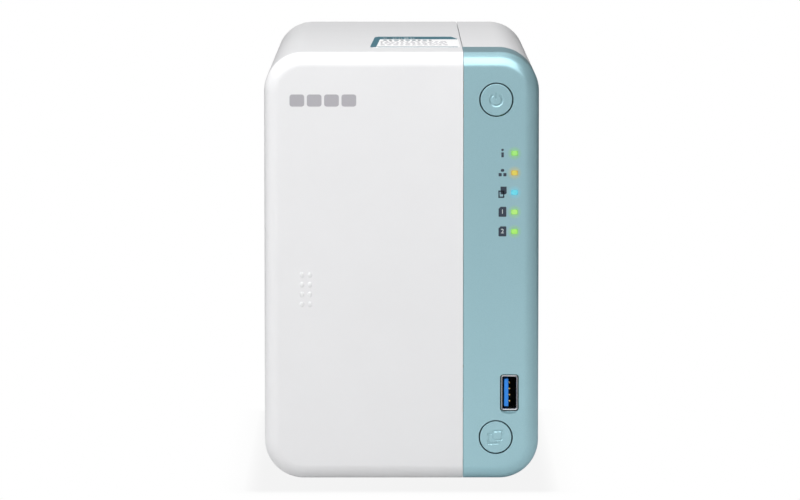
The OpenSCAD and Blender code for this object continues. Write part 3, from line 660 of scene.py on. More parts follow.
def make_bezel():
    obj = case_wall("bezel", ((SEAM_RIGHT, 0, 0), LEFTWARD), ((0, BEZEL_HIGH.y, 0), REARWARD))
    collars, holes = bmesh.new(), bmesh.new()
    face = front_plane(FRONT_Y - MM)
    inside = FRONT_Y + WALL
    for node in ("power_button", "copy_button"):
        x, _, z = span(node)[2]
        cylinder(collars, 8.1 * MM, (x, inside - 0.2 * MM, z), (x, inside + 3.2 * MM, z), ROUND_STEPS)
        cylinder(holes, CAP_R + CAP_GAP, (x, FRONT_Y - MM, z), (x, FRONT_Y + 8 * MM, z), ROUND_STEPS)
    for spot in light_spots():
        slab(holes, LAMP_W + 0.1, LAMP_H + 0.1, 0.5, spot, face, 5)
    x, _, z = span("front_usb_shell")[2]
    slab(holes, *USB_OPENING, 1.1, (x, z), face, 6)
    cut(obj, collars, "UNION")
    cut(obj, holes)
    cut(obj, usb_scoop(x, z))
    # painted lamp glow: each status light's glow colour, painted into the bezel's lacquer round it
    painted_lamp_halos = [(Vector((x, FRONT_Y, z)), look[3]) for (x, z), look in zip(light_spots(), LED_LOOKS)]
    settle(obj, pearl_lacquer("pearl_bezel", painted_lamp_halos), "chassis", "pearl_blue", ["front_bezel"])
    round_edges(obj, 0.14 * MM)


def make_side_shell():
    obj = case_wall("right_shell", ((SEAM_TOP, 0, 0), LEFTWARD), ((0, SHELL_LOW.y, 0), FORWARD))
    slots = bmesh.new()
    for n in range(12):
        slab(slots, 12, 2.4, 1.15, (37 * MM, (5 * n - 38.8) * MM), top_plane(BOTTOM_Z + 4 * MM), 6)
    cut(obj, slots)
    settle(obj, "white_shell", "chassis", "white_shell", ["side_shell"])
    round_edges(obj, 0.16 * MM)


# -------------------- print on the case

def make_cover_mark():
    """A plain generic mark: four soft bars."""
    low, high, middle = span("cover_mark")
    bm = bmesh.new()
    for n in range(4):
        at = (low.x + (6.6 * n + 2.8) * MM, middle.z)
        slab(bm, 5.6, (high.z - low.z) / MM, 1.0, at, front_plane(low.y + 0.06 * MM), 0.08)
    add_piece("cover_print", bm, "grey_print", ["cover_mark"], "slide_cover", smooth=False)


def bar_row(bm, plane, v, left, stop, height, radius, words, gap, depth, chance):
    """Plain bars of uneven length along a line, where a label would have words.

    The last bar starts before stop. words are the shortest and the longest bar. v, left and stop are
    in metres and the rest is in mm.
    """
    shortest, longest = words
    x = left
    while x < stop:
        word = shortest + (longest - shortest) * chance.random()
        slab(bm, word, height, radius, (x + word / 2 * MM, v), plane, depth)
        x += (word + gap) * MM


def make_sticker():
    """Coated film with a teal header and border and rows of plain bars where words would be."""
    low, high, middle = span("top_sticker")
    print_plane = top_plane(high.z - 0.02 * MM)
    chance = random.Random(7)

    def words(bm, plane, back, left, right, height, shortest, longest):
        bar_row(bm, plane, high.y - back * MM, left, right - longest * MM, height, height * 0.2,
                (shortest, longest), 0.8, 0.02, chance)

    back_left = [(low.x + right * MM, high.y - back * MM)
                 for right, back in ((3.2, 0), (2.0, 2), (1.5, 7), (1.2, 19))]
    film = bmesh.new()
    outline = [(low.x + 1 * MM, low.y), (high.x - 1 * MM, low.y), (high.x, low.y + 2 * MM),
               (high.x, high.y - 15 * MM), (high.x - 2.4 * MM, high.y), *back_left, (low.x, low.y + 3 * MM)]
    prism(film, outline, top_plane(high.z - 0.03 * MM), 0.09 * MM)
    add_piece("sticker_film", film, "sticker_film", ["top_sticker"], "slide_cover", smooth=False)
    teal = bmesh.new()
    header = [(high.x - 0.3 * MM, high.y - 19 * MM), (high.x - 0.3 * MM, high.y - 15.4 * MM),
              (high.x - 2.6 * MM, high.y)] + back_left
    prism(teal, header, top_plane(high.z - 0.015 * MM), 0.04 * MM)
    border = [(low.x, low.y + 3 * MM), (low.x + 0.8 * MM, low.y), (low.x + 2.4 * MM, low.y + 1 * MM),
              (low.x + 3.7 * MM, high.y - 18.5 * MM), (low.x + 1.2 * MM, high.y - 18.5 * MM)]
    prism(teal, border, print_plane, 0.03 * MM)
    width = (high.x - low.x) / MM - 3.5
    slab(teal, width, 4, 0.6, (middle.x + 1 * MM, low.y + 2.3 * MM), print_plane, 0.03)
    words(teal, print_plane, 25.5, low.x + 5 * MM, high.x - 8 * MM, 5, 1.0, 2.4)
    on_film = dict(body="slide_cover", slot="sticker_film", smooth=False)
    add_piece("sticker_border", teal, "teal_print", **on_film)
    rows = bmesh.new()
    for row in range(5):
        words(rows, print_plane, 35 + 6 * row, low.x + 4 * MM, high.x - 3 * MM, 3, 0.7, 2.2)
    add_piece("sticker_bars", rows, "grey_print", **on_film)
    light = bmesh.new()
    words(light, top_plane(high.z), 11, low.x + 5 * MM, middle.x + 4 * MM, 5, 0.7, 1.8)
    add_piece("sticker_header_bars", light, "pale_print", **on_film)


def numeral(text, size, x, z, y):
    """A digit standing on the front plane, centred on (x, z)."""
    curve = bpy.data.curves.new("digit_" + text, "FONT")
    curve.body = text
    curve.size = size
    curve.extrude = 0.01 * MM
    curve.offset = size * 0.004
    curve.align_x = "CENTER"
    curve.align_y = "CENTER"
    source = show(bpy.data.objects.new("digit_source", curve))
    graph = bpy.context.evaluated_depsgraph_get()
    mesh = bpy.data.meshes.new_from_object(source.evaluated_get(graph))
    bpy.data.objects.remove(source)
    mesh.transform(Matrix.Translation((x, y, z)) @ Matrix.Rotation(radians(90), 4, "X"))
    obj = show(bpy.data.objects.new("numeral_" + text, mesh))
    settle(obj, "pale_print", "chassis", "slate_print", smooth=False)


def page_outline(x, z, width, height, nick):
    """A sheet of paper with one corner cut off."""
    left, right, bottom, top = x - width / 2, x + width / 2, z - height / 2, z + height / 2
    return [(left, bottom), (right - nick, bottom), (right, bottom + nick), (right, top), (left, top)]


def ring_strokes(bm, outline, to_point, width, depth):
    """A closed outline drawn as strokes of a given width."""
    for n in range(len(outline)):
        a, b = Vector(outline[n]), Vector(outline[(n + 1) % len(outline)])
        along = (b - a).normalized() * width / 2
        side = Vector((-along.y, along.x))
        corners = [a - along + side, a - along - side, b + along - side, b + along + side]
        prism(bm, [tuple(c) for c in corners], to_point, depth)


def bay_card(x, z):
    """Outline of a drive card with its top left corner cut off."""
    half_w, half_h, nick = 1.49 * MM, 1.92 * MM, 0.8 * MM
    card = [(u, v) for u, v in rounded(2 * half_w, 2 * half_h, 0.3 * MM, (x, z)) if u >= x or v <= z]
    at = next(i for i, (u, v) in enumerate(card) if u < x and v < z)
    return card[:at] + [(x - half_w + nick, z + half_h), (x - half_w, z + half_h - nick)] + card[at:]


def make_icons():
    """Five printed signs: information, network, copy, and the two bays."""
    x = span("status_icons")[2].x
    heights = [z + 0.1 * MM for _, z in light_spots()]
    face = front_plane(FRONT_Y - 0.05 * MM)
    ink = 0.06
    bm = bmesh.new()
    # sign, width, height, corner radius, right of the column's middle, above the sign's middle
    blocks = ((0, 0.95, 0.85, 0.35, 0, 1.2), (0, 0.95, 1.87, 0.15, 0, -0.7), (1, 1.3, 1.07, 0.45, 0, 0.86),
              (1, 1.2, 1.24, 0.2, -0.91, -0.78), (1, 1.2, 1.24, 0.2, 0.91, -0.78))
    for sign, width, height, radius, right, above in blocks:
        slab(bm, width, height, radius, (x + right * MM, heights[sign] + above * MM), face, ink)
    z = heights[2]
    prism(bm, page_outline(x + 0.41 * MM, z + 0.66 * MM, 2.33 * MM, 2.98 * MM, 0.5 * MM), face, ink * MM)
    back_page = page_outline(x - 0.45 * MM, z - 0.75 * MM, 1.75 * MM, 2.3 * MM, 0.1 * MM)
    ring_strokes(bm, back_page, face, 0.5 * MM, ink * MM)
    for text, z in zip("12", heights[3:]):
        prism(bm, bay_card(x, z), face, ink * MM)
        numeral(text, 2.4 * MM, x, z, FRONT_Y - 0.075 * MM)
    add_piece("icons", bm, "slate_print", ["status_icons"], smooth=False)


# -------------------- controls and lights

def make_lights():
    """Five light pipes with lit tips."""
    low, high, _ = span("light_pipes")
    flange_face = front_plane(FRONT_Y + WALL + 0.1 * MM)
    for n, ((x, z), (name, core, rim, _)) in enumerate(zip(light_spots(), LED_LOOKS)):
        bm = bmesh.new()
        slab(bm, LAMP_W, LAMP_H, 0.5, (x, z), front_plane(low.y), (high.y - low.y) / MM)
        slab(bm, 3.2, 3.0, 0.3, (x, z), flange_face, 1.3)
        look = glowing(name, (x, low.y, z), core, rim)
        replaced = ["light_pipes"] if n == 0 else []
        add_piece(f"light_pipe_{n + 1}", bm, look, replaced, slot="light_pipe", edge=0.12)


def cap_profile(radius, depth):
    """A button cap's section in mm: shallow dish, rounded rim, barrel and flange."""
    lip = 0.12
    dish = [((radius - lip) * k / 8, 0.06 * (1 - (k / 8) ** 2)) for k in range(8)]
    turns = [radians(22.5 * n) for n in range(5)]
    rim = [(radius - lip * (1 - sin(a)), lip * (1 - cos(a))) for a in turns]
    flange = [(radius, 6.2), (radius + 1.2, 6.2), (radius + 1.2, 7.2), (1.8, 7.2), (1.8, depth), (0, depth)]
    return dish + rim + flange


def stroke_band(points, width):
    """Outline of a stroke of even width along a path, with mitred turns."""
    path = [Vector(point) for point in points]
    left, right = [], []
    for n, here in enumerate(path):
        into = (here - path[n - 1]).normalized() if n else (path[1] - here).normalized()
        out = (path[n + 1] - here).normalized() if n < len(path) - 1 else into
        across = Vector((-(into + out).y, (into + out).x)).normalized()
        reach = width / 2 / max(0.3, across.dot(Vector((-into.y, into.x))))
        left.append(tuple(here + across * reach))
        right.append(tuple(here - across * reach))
    return left + right[::-1]


def power_sign():
    """Strokes of a standby sign, in mm: an open ring and a line."""
    turn = [radians(125 + 290 * n / 24) for n in range(25)]
    return [[(2.2 * cos(a), 2.2 * sin(a)) for a in turn], [(0, 0.2), (0, 2.6)]]


def copy_sign():
    """Strokes of two overlapping pages, in mm."""
    return [[(-1.0, -1.0), (-1.0, 2.4), (2.6, 2.4), (2.6, -0.4), (1.9, -1.1), (-0.6, -1.1)],
            [(-1.4, 1.3), (-2.6, 1.3), (-2.6, -2.4), (1.2, -2.4), (1.2, -1.5)]]


def make_buttons():
    """Two round caps with a sign sunk into each."""
    for node, sign in (("power_button", power_sign()), ("copy_button", copy_sign())):
        low, high, (x, _, z) = span(node)
        bm = bmesh.new()
        profile = cap_profile(CAP_R / MM, (high.y - low.y) / MM)
        lathe(bm, profile, facing((x, low.y, z), REARWARD), ROUND_STEPS)
        obj = mesh_object(node + "_cap", bm)
        for line in sign:
            groove = bmesh.new()
            path = [(x + u * MM, z + v * MM) for u, v in line]
            start = front_plane(FRONT_Y - 0.5 * MM)
            prism(groove, stroke_band(path, SIGN_STROKE), start, 0.5 * MM + SIGN_DEPTH)
            cut(obj, groove)
        settle(obj, "pearl_blue", BODY_OF[node], "pearl_blue", [node])
        obj.modifiers.new("normals", "WEIGHTED_NORMAL").keep_sharp = False


def usb_parts(prefix, x, z, mouth_y, inward, depth, nodes):
    """A USB-A receptacle: rolled steel shell, tongue and gold contacts.

    inward is +1 where the mouth looks to the front and -1 where it looks to the rear.
    """
    shell_node, tongue_node, contact_node = nodes

    def plane(offset):
        return socket_plane(x, mouth_y + inward * offset, z, inward)

    outer = rounded(6.4 * MM, 13.5 * MM, 0.8 * MM)
    inner = rounded(5.4 * MM, 12.5 * MM, 0.5 * MM)
    lip = rounded(6.2 * MM, 13.3 * MM, 0.72 * MM)
    loops = ((outer, depth), (outer, 0.2 * MM), (lip, 0), (inner, 0.12 * MM), (inner, depth))
    steel = bmesh.new()
    loft(steel, [[plane(0)(u, v, d) for u, v in outline] for outline, d in loops], closed=True)
    add_piece(prefix + "_shell", steel, "socket_steel", shell_node)
    tongue = bmesh.new()
    slab(tongue, 1.64, 10.6, 0.3, (-1.18 * MM, 0), plane(0.7 * MM), depth / MM - 1.2)
    add_piece(prefix + "_tongue", tongue, "blue_tongue", tongue_node, edge=0.15)
    block = bmesh.new()
    slab(block, 5.3, 12.4, 0.4, (0, 0), plane(depth - 2.6 * MM), 2.4)
    add_piece(prefix + "_block", block, "black_plastic")
    pins = bmesh.new()
    for n in range(4):
        slab(pins, 0.6, 0.6, 0.1, (0, (n - 1.5) * 2.4 * MM), plane(3.0 * MM), 5)
    add_piece(prefix + "_contacts", pins, "gold_contact", contact_node)


def make_front_usb():
    low, high, (x, _, z) = span("front_usb_shell")
    nodes = (["front_usb_shell"], ["front_usb_tongue"], ["front_usb_contacts"])
    usb_parts("front_usb", x, z, low.y, 1, high.y - low.y, nodes)


# -------------------- fasteners and feet

def solids(node):
    """The low corner, high corner and middle of each separate solid of a CAD node."""
    bm = bmesh.new()
    bm.from_mesh(NODES[node].data)
    bmesh.ops.remove_doubles(bm, verts=bm.verts, dist=WELD)
    left = set(bm.verts)
    boxes = []
    while left:
        group, edge = set(), [left.pop()]
        while edge:
            vertex = edge.pop()
            group.add(vertex)
            for link in vertex.link_edges:
                other = link.other_vert(vertex)
                if other in left:
                    left.remove(other)
                    edge.append(other)
        columns = list(zip(*(vertex.co for vertex in group)))
        low, high = Vector(map(min, columns)), Vector(map(max, columns))
        boxes.append((low, high, (low + high) / 2))
    bm.free()
    return sorted(boxes, key=lambda corners: tuple(round(part, 5) for part in corners[0]))


def screw_shape(head_r, head_h, shank_r, length):
    """A cross-recess screw, measured in mm. Its head's top is at the origin, its thread runs down -Z."""
    profile = [(0, 0), (head_r * 0.62, -0.03), (head_r * 0.9, -head_h * 0.3), (head_r, -head_h * 0.62),
               (head_r, -head_h), (shank_r, -head_h)]
    for n in range(int((length - head_h - 0.8) / THREAD_PITCH)):
        height = -head_h - THREAD_PITCH * (n + 0.5)
        profile += [(shank_r, height), (shank_r - 0.22, height - 0.25)]
    profile += [(shank_r * 0.75, -length + 0.3), (shank_r * 0.4, -length), (0, -length)]
    bm = bmesh.new()
    lathe(bm, profile, Matrix.Identity(4), 24)
    obj = mesh_object("screw", bm)
    reach, half = head_r * 0.58 * MM, head_r * 0.13 * MM
    cross = [(-half, -reach), (half, -reach), (half, -half), (reach, -half), (reach, half), (half, half),
             (half, reach), (-half, reach), (-half, half), (-reach, half), (-reach, -half), (-half, -half)]
    recess = bmesh.new()
    prism(recess, cross, top_plane(0.5 * MM), (0.5 + head_h * 0.6) * MM)
    cut(obj, recess)
    shape = obj.data
    bpy.data.objects.remove(obj)
    return shape


def stamp(bm, shape, point, direction):
    """Adds a copy of a mesh with its top at a point, facing a direction."""
    mesh = shape.copy()
    mesh.transform(facing(point, direction))
    bm.from_mesh(mesh)
    bpy.data.meshes.remove(mesh)


def make_screws(node, direction, head_h, shank_r=1.4, part=""):
    """Real screws where a CAD node has its plain ones; direction is the way their heads face.

    The height of the head and the radius of the shank are in mm.
    """
    axis = max(range(3), key=lambda k: abs(direction[k]))
    bm = bmesh.new()
    shapes = {}
    for low, high, point in solids(node):
        size = (high - low) / MM
        if max(range(3), key=lambda k: size[k]) != axis:
            continue
        head_r = size[(axis + 1) % 3] / 2
        key = (round(head_r, 2), round(size[axis], 2))
        if key not in shapes:
            shapes[key] = screw_shape(head_r, head_h, min(shank_r, head_r), size[axis])
        point[axis] = high[axis] if direction[axis] > 0 else low[axis]
        stamp(bm, shapes[key], point, direction)
    add_piece(node + part + "_threaded", bm, SLOT_OF[node], [node], BODY_OF[node])


def make_all_screws():
    make_screws("case_screws", REARWARD, 1.2, part="_rear")
    make_screws("case_screws", UPWARD, 0.9, part="_floor")
    make_screws("fan_screws", REARWARD, 0.9, 1.8)
    make_screws("board_screws", RIGHTWARD, 1.6)
    for n in (1, 2):
        make_screws(f"drive_{n}_screws", LEFTWARD, 0.9)


def make_feet():
    """Four rubber feet with a rounded edge and a ring groove in the sole."""
    bm = bmesh.new()
    for low, high, middle in solids("feet"):
        r, h = (high.x - low.x) / 2 / MM, (high.z - low.z) / MM
        profile = [(0, h), (r, h), (r, 1), (r - 0.25, 0.4), (r - 0.8, 0), (r - 2.0, 0), (r - 2.3, 0.5),
                   (r - 3.2, 0.5), (r - 3.5, 0), (0, 0)]
        lathe(bm, profile, Matrix.Translation((middle.x, middle.y, low.z)))
    add_piece("rubber_feet", bm, "rubber_foot", ["feet"], BODY_OF["feet"])


# -------------------- rear sockets and the fan

def make_rear_usb():
    """Two receptacles stacked on the rear edge of the main board, with their legs."""
    shell_low, shell_high, _ = span("rear_usb_shells")
    mouth = shell_high.y
    legs = bmesh.new()
    nodes = (["rear_usb_shells"], ["rear_usb_tongues"], [])
    for n, (_, _, (x, _, z)) in enumerate(solids("rear_usb_tongues")):
        usb_parts(f"rear_usb_{n + 1}", x, z, mouth, -1, 16.5 * MM, nodes)
        nodes = ([], [], [])
        for v in (-4.7 * MM, 4.7 * MM):
            box(legs, (shell_low.x, mouth - 15 * MM, z + v - 0.25 * MM),
                (x - 3.1 * MM, mouth - 6 * MM, z + v + 0.25 * MM))
    add_piece("rear_usb_legs", legs, "socket_steel", smooth=False)


def make_lan_socket():
    """Shielded network socket: folded steel shell, black insert, eight sprung gold wires and two lamps."""
    low, high, middle = span("lan_socket")
    mouth, z = high.y, middle.z
    x = high.x - 7.2 * MM
    width, height, depth = high.x - low.x, high.z - low.z, high.y - low.y
    at = (middle.x - x, 0)
    outer = rounded(width, height, 0.5 * MM, at, 4)
    lip = rounded(width - 0.5 * MM, height - 0.5 * MM, 0.4 * MM, at, 4)
    inner = rounded(8 * MM, 11.8 * MM, 0.3 * MM, (0, 0), 4)
    plane = socket_plane(x, mouth, z, -1)
    loops = ((outer, depth), (outer, 0.3 * MM), (lip, 0), (inner, 0.35 * MM), (inner, 14 * MM))
    shell = bmesh.new()
    rings = loft(shell, [[plane(u, v, d) for u, v in outline] for outline, d in loops])
    shell.faces.new(rings[0])
    shell.faces.new(rings[-1])
    for side in (-1, 1):
        root, crest = side * (height / 2 + 0.02 * MM), side * (height / 2 + 0.18 * MM)
        spring = [(-2.5 * MM, root), (2.5 * MM, root), (2.0 * MM, crest), (-2.0 * MM, crest)]
        prism(shell, spring, socket_plane(x, mouth - 4 * MM, z, -1), 6 * MM)
    add_piece("lan_shell", shell, "socket_steel", ["lan_socket"])
    # left, right, deep end, front end, bottom and top of each part of the insert, from its middle, in mm
    parts = [(-3.9, 3.5, 13.9, 0.6, -5.75, -4.25), (-3.9, 3.5, 13.9, 0.6, 4.25, 5.75),
             (-3.9, 3.5, 13.9, 12.6, -5, 5), (2.6, 3.5, 13.9, 0.8, -5, 5)]
    ribs = [(n - 4) * WIRE_PITCH for n in range(9)]
    parts += [(1.9, 2.7, 13.9, 3.5, at - 0.14, at + 0.14) for at in ribs]
    insert = bmesh.new()
    for left, right, deep, shallow, bottom, top in parts:
        box(insert, (x + left * MM, mouth - deep * MM, z + bottom * MM),
            (x + right * MM, mouth - shallow * MM, z + top * MM))
    add_piece("lan_insert", insert, "black_plastic", edge=0.06, steps=1)
    wires = bmesh.new()
    for n in range(8):
        at = z + (n - 3.5) * WIRE_PITCH * MM
        bends = ((2.3, 3.4), (0.2, 9.5), (0.6, 12.8))
        bends = [(x + right * MM, mouth - deep * MM, at) for right, deep in bends]
        for start, end in zip(bends, bends[1:]):
            cylinder(wires, 0.2 * MM, start, end, 12)
    add_piece("lan_wires", wires, "gold_contact")
    for n, side in enumerate((-1, 1)):
        lens = bmesh.new()
        face = socket_plane(x, mouth + 0.05 * MM, z, -1)
        slab(lens, 2.6, 1.3, 0.3, (-2.4 * MM, side * 7.0 * MM), face, 1.5)
        add_piece(f"lan_lamp_{n + 1}", lens, "led_resin", edge=0.12)


def make_power_jack():
    """Steel centre pin and outer spring of the power socket; the plastic body is the CAD part."""
    _, high, middle = span("power_jack")
    at = facing((high.x - 5.5 * MM, high.y - 11.4 * MM, middle.z), REARWARD)
    pin = ((0, 0), (1.12, 0), (1.12, 9.6), (1.0, 10.1), (0.65, 10.45), (0, 10.55))
    spring = ((2.35, 0), (2.78, 0), (2.78, 9), (2.6, 9.2), (2.45, 9), (2.35, 0))
    bm = bmesh.new()
    for profile in (pin, spring):
        lathe(bm, profile, at, 32)
    add_piece("power_jack_pin", bm, "socket_steel")


def make_reset_button():
    """A thin plunger with a collar that keeps it in the rear panel."""
    low, high, middle = span("reset_button")
    length = (high.y - low.y) / MM
    profile = ((0, 0), (1.25, 0), (1.25, 2), (2.45, 2.0), (2.6, 2.2), (2.6, 3.0), (2.45, 3.2), (1.25, 3.2),
               (1.25, length - 0.4), (1.1, length - 0.1), (0.7, length), (0, length - 0.08))
    bm = bmesh.new()
    lathe(bm, profile, facing((middle.x, low.y, middle.z), REARWARD), 32)
    add_piece("reset_plunger", bm, "black_plastic", ["reset_button"], BODY_OF["reset_button"])


def fan_blade(bm, turn, inner, outer, centre):
    """One swept, cambered blade, 1.2 mm thick at the root and thinner at its tip."""
    sheets = []
    for side in (-1, 1):
        sheet = []
        for i in range(BLADE_SPANS + 1):
            share = i / BLADE_SPANS
            radius = inner + (outer - inner) * share
            pitch = radians(46 - 16 * share)
            chord = (17 + 6 * share) * MM
            thick = (0.6 - 0.25 * share) * MM
            line = []
            for j in range(BLADE_CHORDS + 1):
                t = j / BLADE_CHORDS - 0.5
                along = t * chord * cos(pitch)
                camber = 1.8 * MM * (1 - 4 * t * t)
                rise = t * chord * sin(pitch) + camber + side * thick * (1 - 3.2 * t * t)
                angle = turn + along / radius + radians(9) * share
                line.append(bm.verts.new((centre.x + radius * cos(angle), centre.y + rise,
                                          centre.z + radius * sin(angle))))
            sheet.append(line)
        sheets.append(sheet)
    under, over = sheets
    for i in range(BLADE_SPANS):
        for j in range(BLADE_CHORDS):
            bm.faces.new((over[i][j], over[i + 1][j], over[i + 1][j + 1], over[i][j + 1]))
            bm.faces.new((under[i][j + 1], under[i + 1][j + 1], under[i + 1][j], under[i][j]))
        for j in (0, BLADE_CHORDS):
            bm.faces.new((under[i][j], under[i + 1][j], over[i + 1][j], over[i][j]))
    for j in range(BLADE_CHORDS):
        for i in (0, BLADE_SPANS):
            bm.faces.new((under[i][j], under[i][j + 1], over[i][j + 1], over[i][j]))


def make_fan():
    """The fan's hub, a cup that is open to the rear, and its blades."""
    frame_low, frame_high, middle = span("fan_frame")
    front, back = frame_low.y + 2 * MM, frame_high.y - 4.5 * MM
    r, h = HUB_R / MM, (back - front) / MM
    bm = bmesh.new()
    profile = [(0, 0), (r - 1.6, 0), (r - 0.5, 0.4), (r, 1.6), (r, h), (r - 1.5, h), (r - 1.5, 1.5),
               (1.5, 1.5), (1.5, h - 0.9), (0, h - 0.9)]
    lathe(bm, profile, facing((middle.x, front, middle.z), REARWARD), 64)
    centre = Vector((middle.x, (front + back) / 2, middle.z))
    for n in range(FAN_BLADES):
        fan_blade(bm, 2 * pi * n / FAN_BLADES, HUB_R - 0.4 * MM, FAN_REACH, centre)
    add_piece("fan_impeller", bm, "fan_plastic", ["fan_rotor"], BODY_OF["fan_rotor"])


# -------------------- boards and drives

def make_capacitors():
    """Aluminium cans with a crimp groove and a dished top."""
    bm = bmesh.new()
    for low, high, middle in solids("capacitors"):
        r, h = (high.y - low.y) / 2 / MM, (high.x - low.x) / MM
        profile = [(0, 0), (r, 0), (r, 0.9), (r - 0.25, 1.2), (r, 1.5), (r, h - 0.5), (r - 0.15, h - 0.15),
                   (r - 0.5, h), (r - 0.8, h), (r - 0.95, h - 0.2), (0, h - 0.2)]
        lathe(bm, profile, facing((low.x, middle.y, middle.z), RIGHTWARD), 40)
    add_piece("capacitor_cans", bm, "capacitor_can", ["capacitors"])


def make_chips():
    """Moulded packages with a bevelled top, a corner dimple and rows of bent leads."""
    bodies, leads = bmesh.new(), bmesh.new()
    half = 0.15 * MM
    for low, high, middle in solids("chips"):
        tall = high.x - low.x
        rings = []
        for x, inset in ((low.x + 0.1 * MM, 0.6 * MM), (low.x + tall * 0.45, 0.35 * MM),
                         (low.x + tall * 0.55, 0.35 * MM), (high.x, 0.6 * MM)):
            ys, zs = (low.y + inset, high.y - inset), (low.z + inset, high.z - inset)
            rings.append([(x, ys[0], zs[0]), (x, ys[1], zs[0]), (x, ys[1], zs[1]), (x, ys[0], zs[1])])
        rings = loft(bodies, rings)
        bodies.faces.new(rings[0][::-1])
        bodies.faces.new(rings[-1])
        lathe(bodies, [(0, 0), (0.4, 0), (0.4, 0.02), (0, 0.02)],
              facing((high.x - 0.01 * MM, low.y + 1.4 * MM, high.z - 1.4 * MM), RIGHTWARD), 20)
        count = int((high.z - low.z - 1.6 * MM) / LEAD_PITCH)
        for n in range(count):
            z = middle.z + (n - (count - 1) / 2) * LEAD_PITCH
            for edge, knee in ((low.y, low.y + 0.36 * MM), (high.y, high.y - 0.36 * MM)):
                for y, reach, top in ((edge, 0.3 * MM, 0.15 * MM), (knee, 0.08 * MM, tall * 0.5)):
                    box(leads, (low.x, y - reach, z - half), (low.x + top, y + reach, z + half))
    add_piece("chip_packages", bodies, "chip_resin", ["chips"], smooth=False)
    add_piece("chip_leads", leads, "socket_steel", slot="chip_resin", smooth=False)


def make_coils():
    """Moulded power coils with rounded corners and a round core."""
    bm = bmesh.new()
    for low, high, middle in solids("coils"):
        height, length, width = (high - low) / MM
        slab(bm, length, width, 1.2, middle.yz, side_plane(high.x - 0.35 * MM), height - 0.35)
        lathe(bm, [(0, 0), (2.6, 0), (2.6, 0.6), (2.4, 0.8), (0, 0.8)],
              facing((high.x - 0.8 * MM, *middle.yz), RIGHTWARD), 32)
    add_piece("power_coils", bm, "coil_ferrite", ["coils"], edge=0.15)


def make_coin_cell():
    """A coin cell with a stepped rim and a plus sign."""
    low, high, middle = span("coin_cell")
    r, h = (high.y - low.y) / 2 / MM, (high.x - low.x) / MM
    bm = bmesh.new()
    profile = [(0, 0), (r - 1.2, 0), (r - 1.0, 0.3), (r - 0.3, 0.35), (r, 0.7), (r, h - 0.5),
               (r - 0.2, h - 0.15), (r - 0.6, h), (r - 2.2, h), (r - 2.4, h - 0.12), (0, h - 0.12)]
    lathe(bm, profile, facing((low.x, *middle.yz), RIGHTWARD), 64)
    for half_w, half_h in ((2.4 * MM, 0.35 * MM), (0.35 * MM, 2.4 * MM)):
        corners = ((-1, -1), (1, -1), (1, 1), (-1, 1))
        bar = [(middle.y + u * half_w, middle.z + v * half_h) for u, v in corners]
        prism(bm, bar, side_plane(high.x - 0.02 * MM), 0.2 * MM)
    add_piece("coin_cell_can", bm, "cell_steel", ["coin_cell"])


def make_drive_details(drive):
    """Pressed lid, plain label, lid screws and board chips of one hard drive."""
    low, high, middle = span(drive)
    body = BODY_OF[drive]
    over_platters = (middle.y - 24 * MM, middle.z)
    lid = bmesh.new()
    _, length, width = (high - low) / MM
    slab(lid, length - 9, width - 9, 5, middle.yz, side_plane(high.x + 0.35 * MM), 0.5)
    slab(lid, 78, 84, 16, over_platters, side_plane(high.x + 0.7 * MM), 0.5)
    add_piece(drive + "_lid", lid, "drive_lid", (), body, "drive_casting", edge=0.3)
    label = bmesh.new()
    slab(label, 66, 72, 1.5, over_platters, side_plane(high.x + 0.8 * MM), 0.12)
    add_piece(drive + "_label", label, "sticker_film", (), body, "drive_casting", smooth=False)
    rows = bmesh.new()
    chance = random.Random(20 + int(drive[-1]))
    for row in range(9):
        bar_row(rows, side_plane(high.x + 0.83 * MM), middle.z + (28 - 6.5 * row) * MM, middle.y - 52 * MM,
                middle.y - 4 * MM, 2.2, 0.4, (3, 10), 1.6, 0.04, chance)
    add_piece(drive + "_label_bars", rows, "grey_print", (), body, "drive_casting", smooth=False)
    screws = bmesh.new()
    shape = screw_shape(2.2, 0.8, 1.2, 1.6)
    for y in (low.y + 8 * MM, middle.y + 22 * MM, high.y - 8 * MM):
        for z in (low.z + 8 * MM, high.z - 8 * MM):
            stamp(screws, shape, (high.x + 0.95 * MM, y, z), RIGHTWARD)
    add_piece(drive + "_lid_screws", screws, "screw_steel", (), body, "drive_casting")
    board_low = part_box(drive + "_board")[0]
    chips = bmesh.new()
    for back, up, wide, tall in ((25, 0, 16.1, 16.1), (21.5, 22, 9.1, 12.1)):
        at = (board_low.y + back * MM, middle.z + up * MM)
        slab(chips, wide, tall, 0.4, at, side_plane(board_low.x + 0.6 * MM), 0.63)
    add_piece(drive + "_chips", chips, "chip_resin", (), body, "board", edge=0.12, steps=1)


# -------------------- the stage

CAMERA_AT = Vector((-0.0025, -1.963, 0.276))
CAMERA_AIM = Vector((-0.0006, -0.108, 0.0920))
CAMERA_LENS = 219
SKY_LOW = 0.28
SKY_TOP = 0.5
SKY_LEFT = 1.1
SKY_RIGHT = 0.08
SKY_BACK = 0.3
FLOOR_PALE = 0.6
FLOOR_FAR = 0.06
FLOOR_LIFT = 0.05
WHITE = (1, 1, 1, 1)
# name, place, aim, width and depth, power, whether reflections show it
SOFTBOXES = (
    ("key", (-0.10, -0.449, 0.569), (-0.02, -0.11, 0.165), (1.0, 0.68), 4.75, True),
    ("overhead", (0.0, 0.06, 0.87), (0.0, 0.06, 0.168), (1.0, 0.32), 2.7, False),
)


def make_camera():
    data = bpy.data.cameras.new("camera")
    data.lens = CAMERA_LENS
    data.sensor_width = 36
    data.clip_start = 0.05
    data.clip_end = 50
    camera = show(bpy.data.objects.new("camera", data))
    camera.location = CAMERA_AT
    camera.rotation_euler = (CAMERA_AIM - CAMERA_AT).to_track_quat("-Z", "Y").to_euler()
    bpy.context.scene.camera = camera


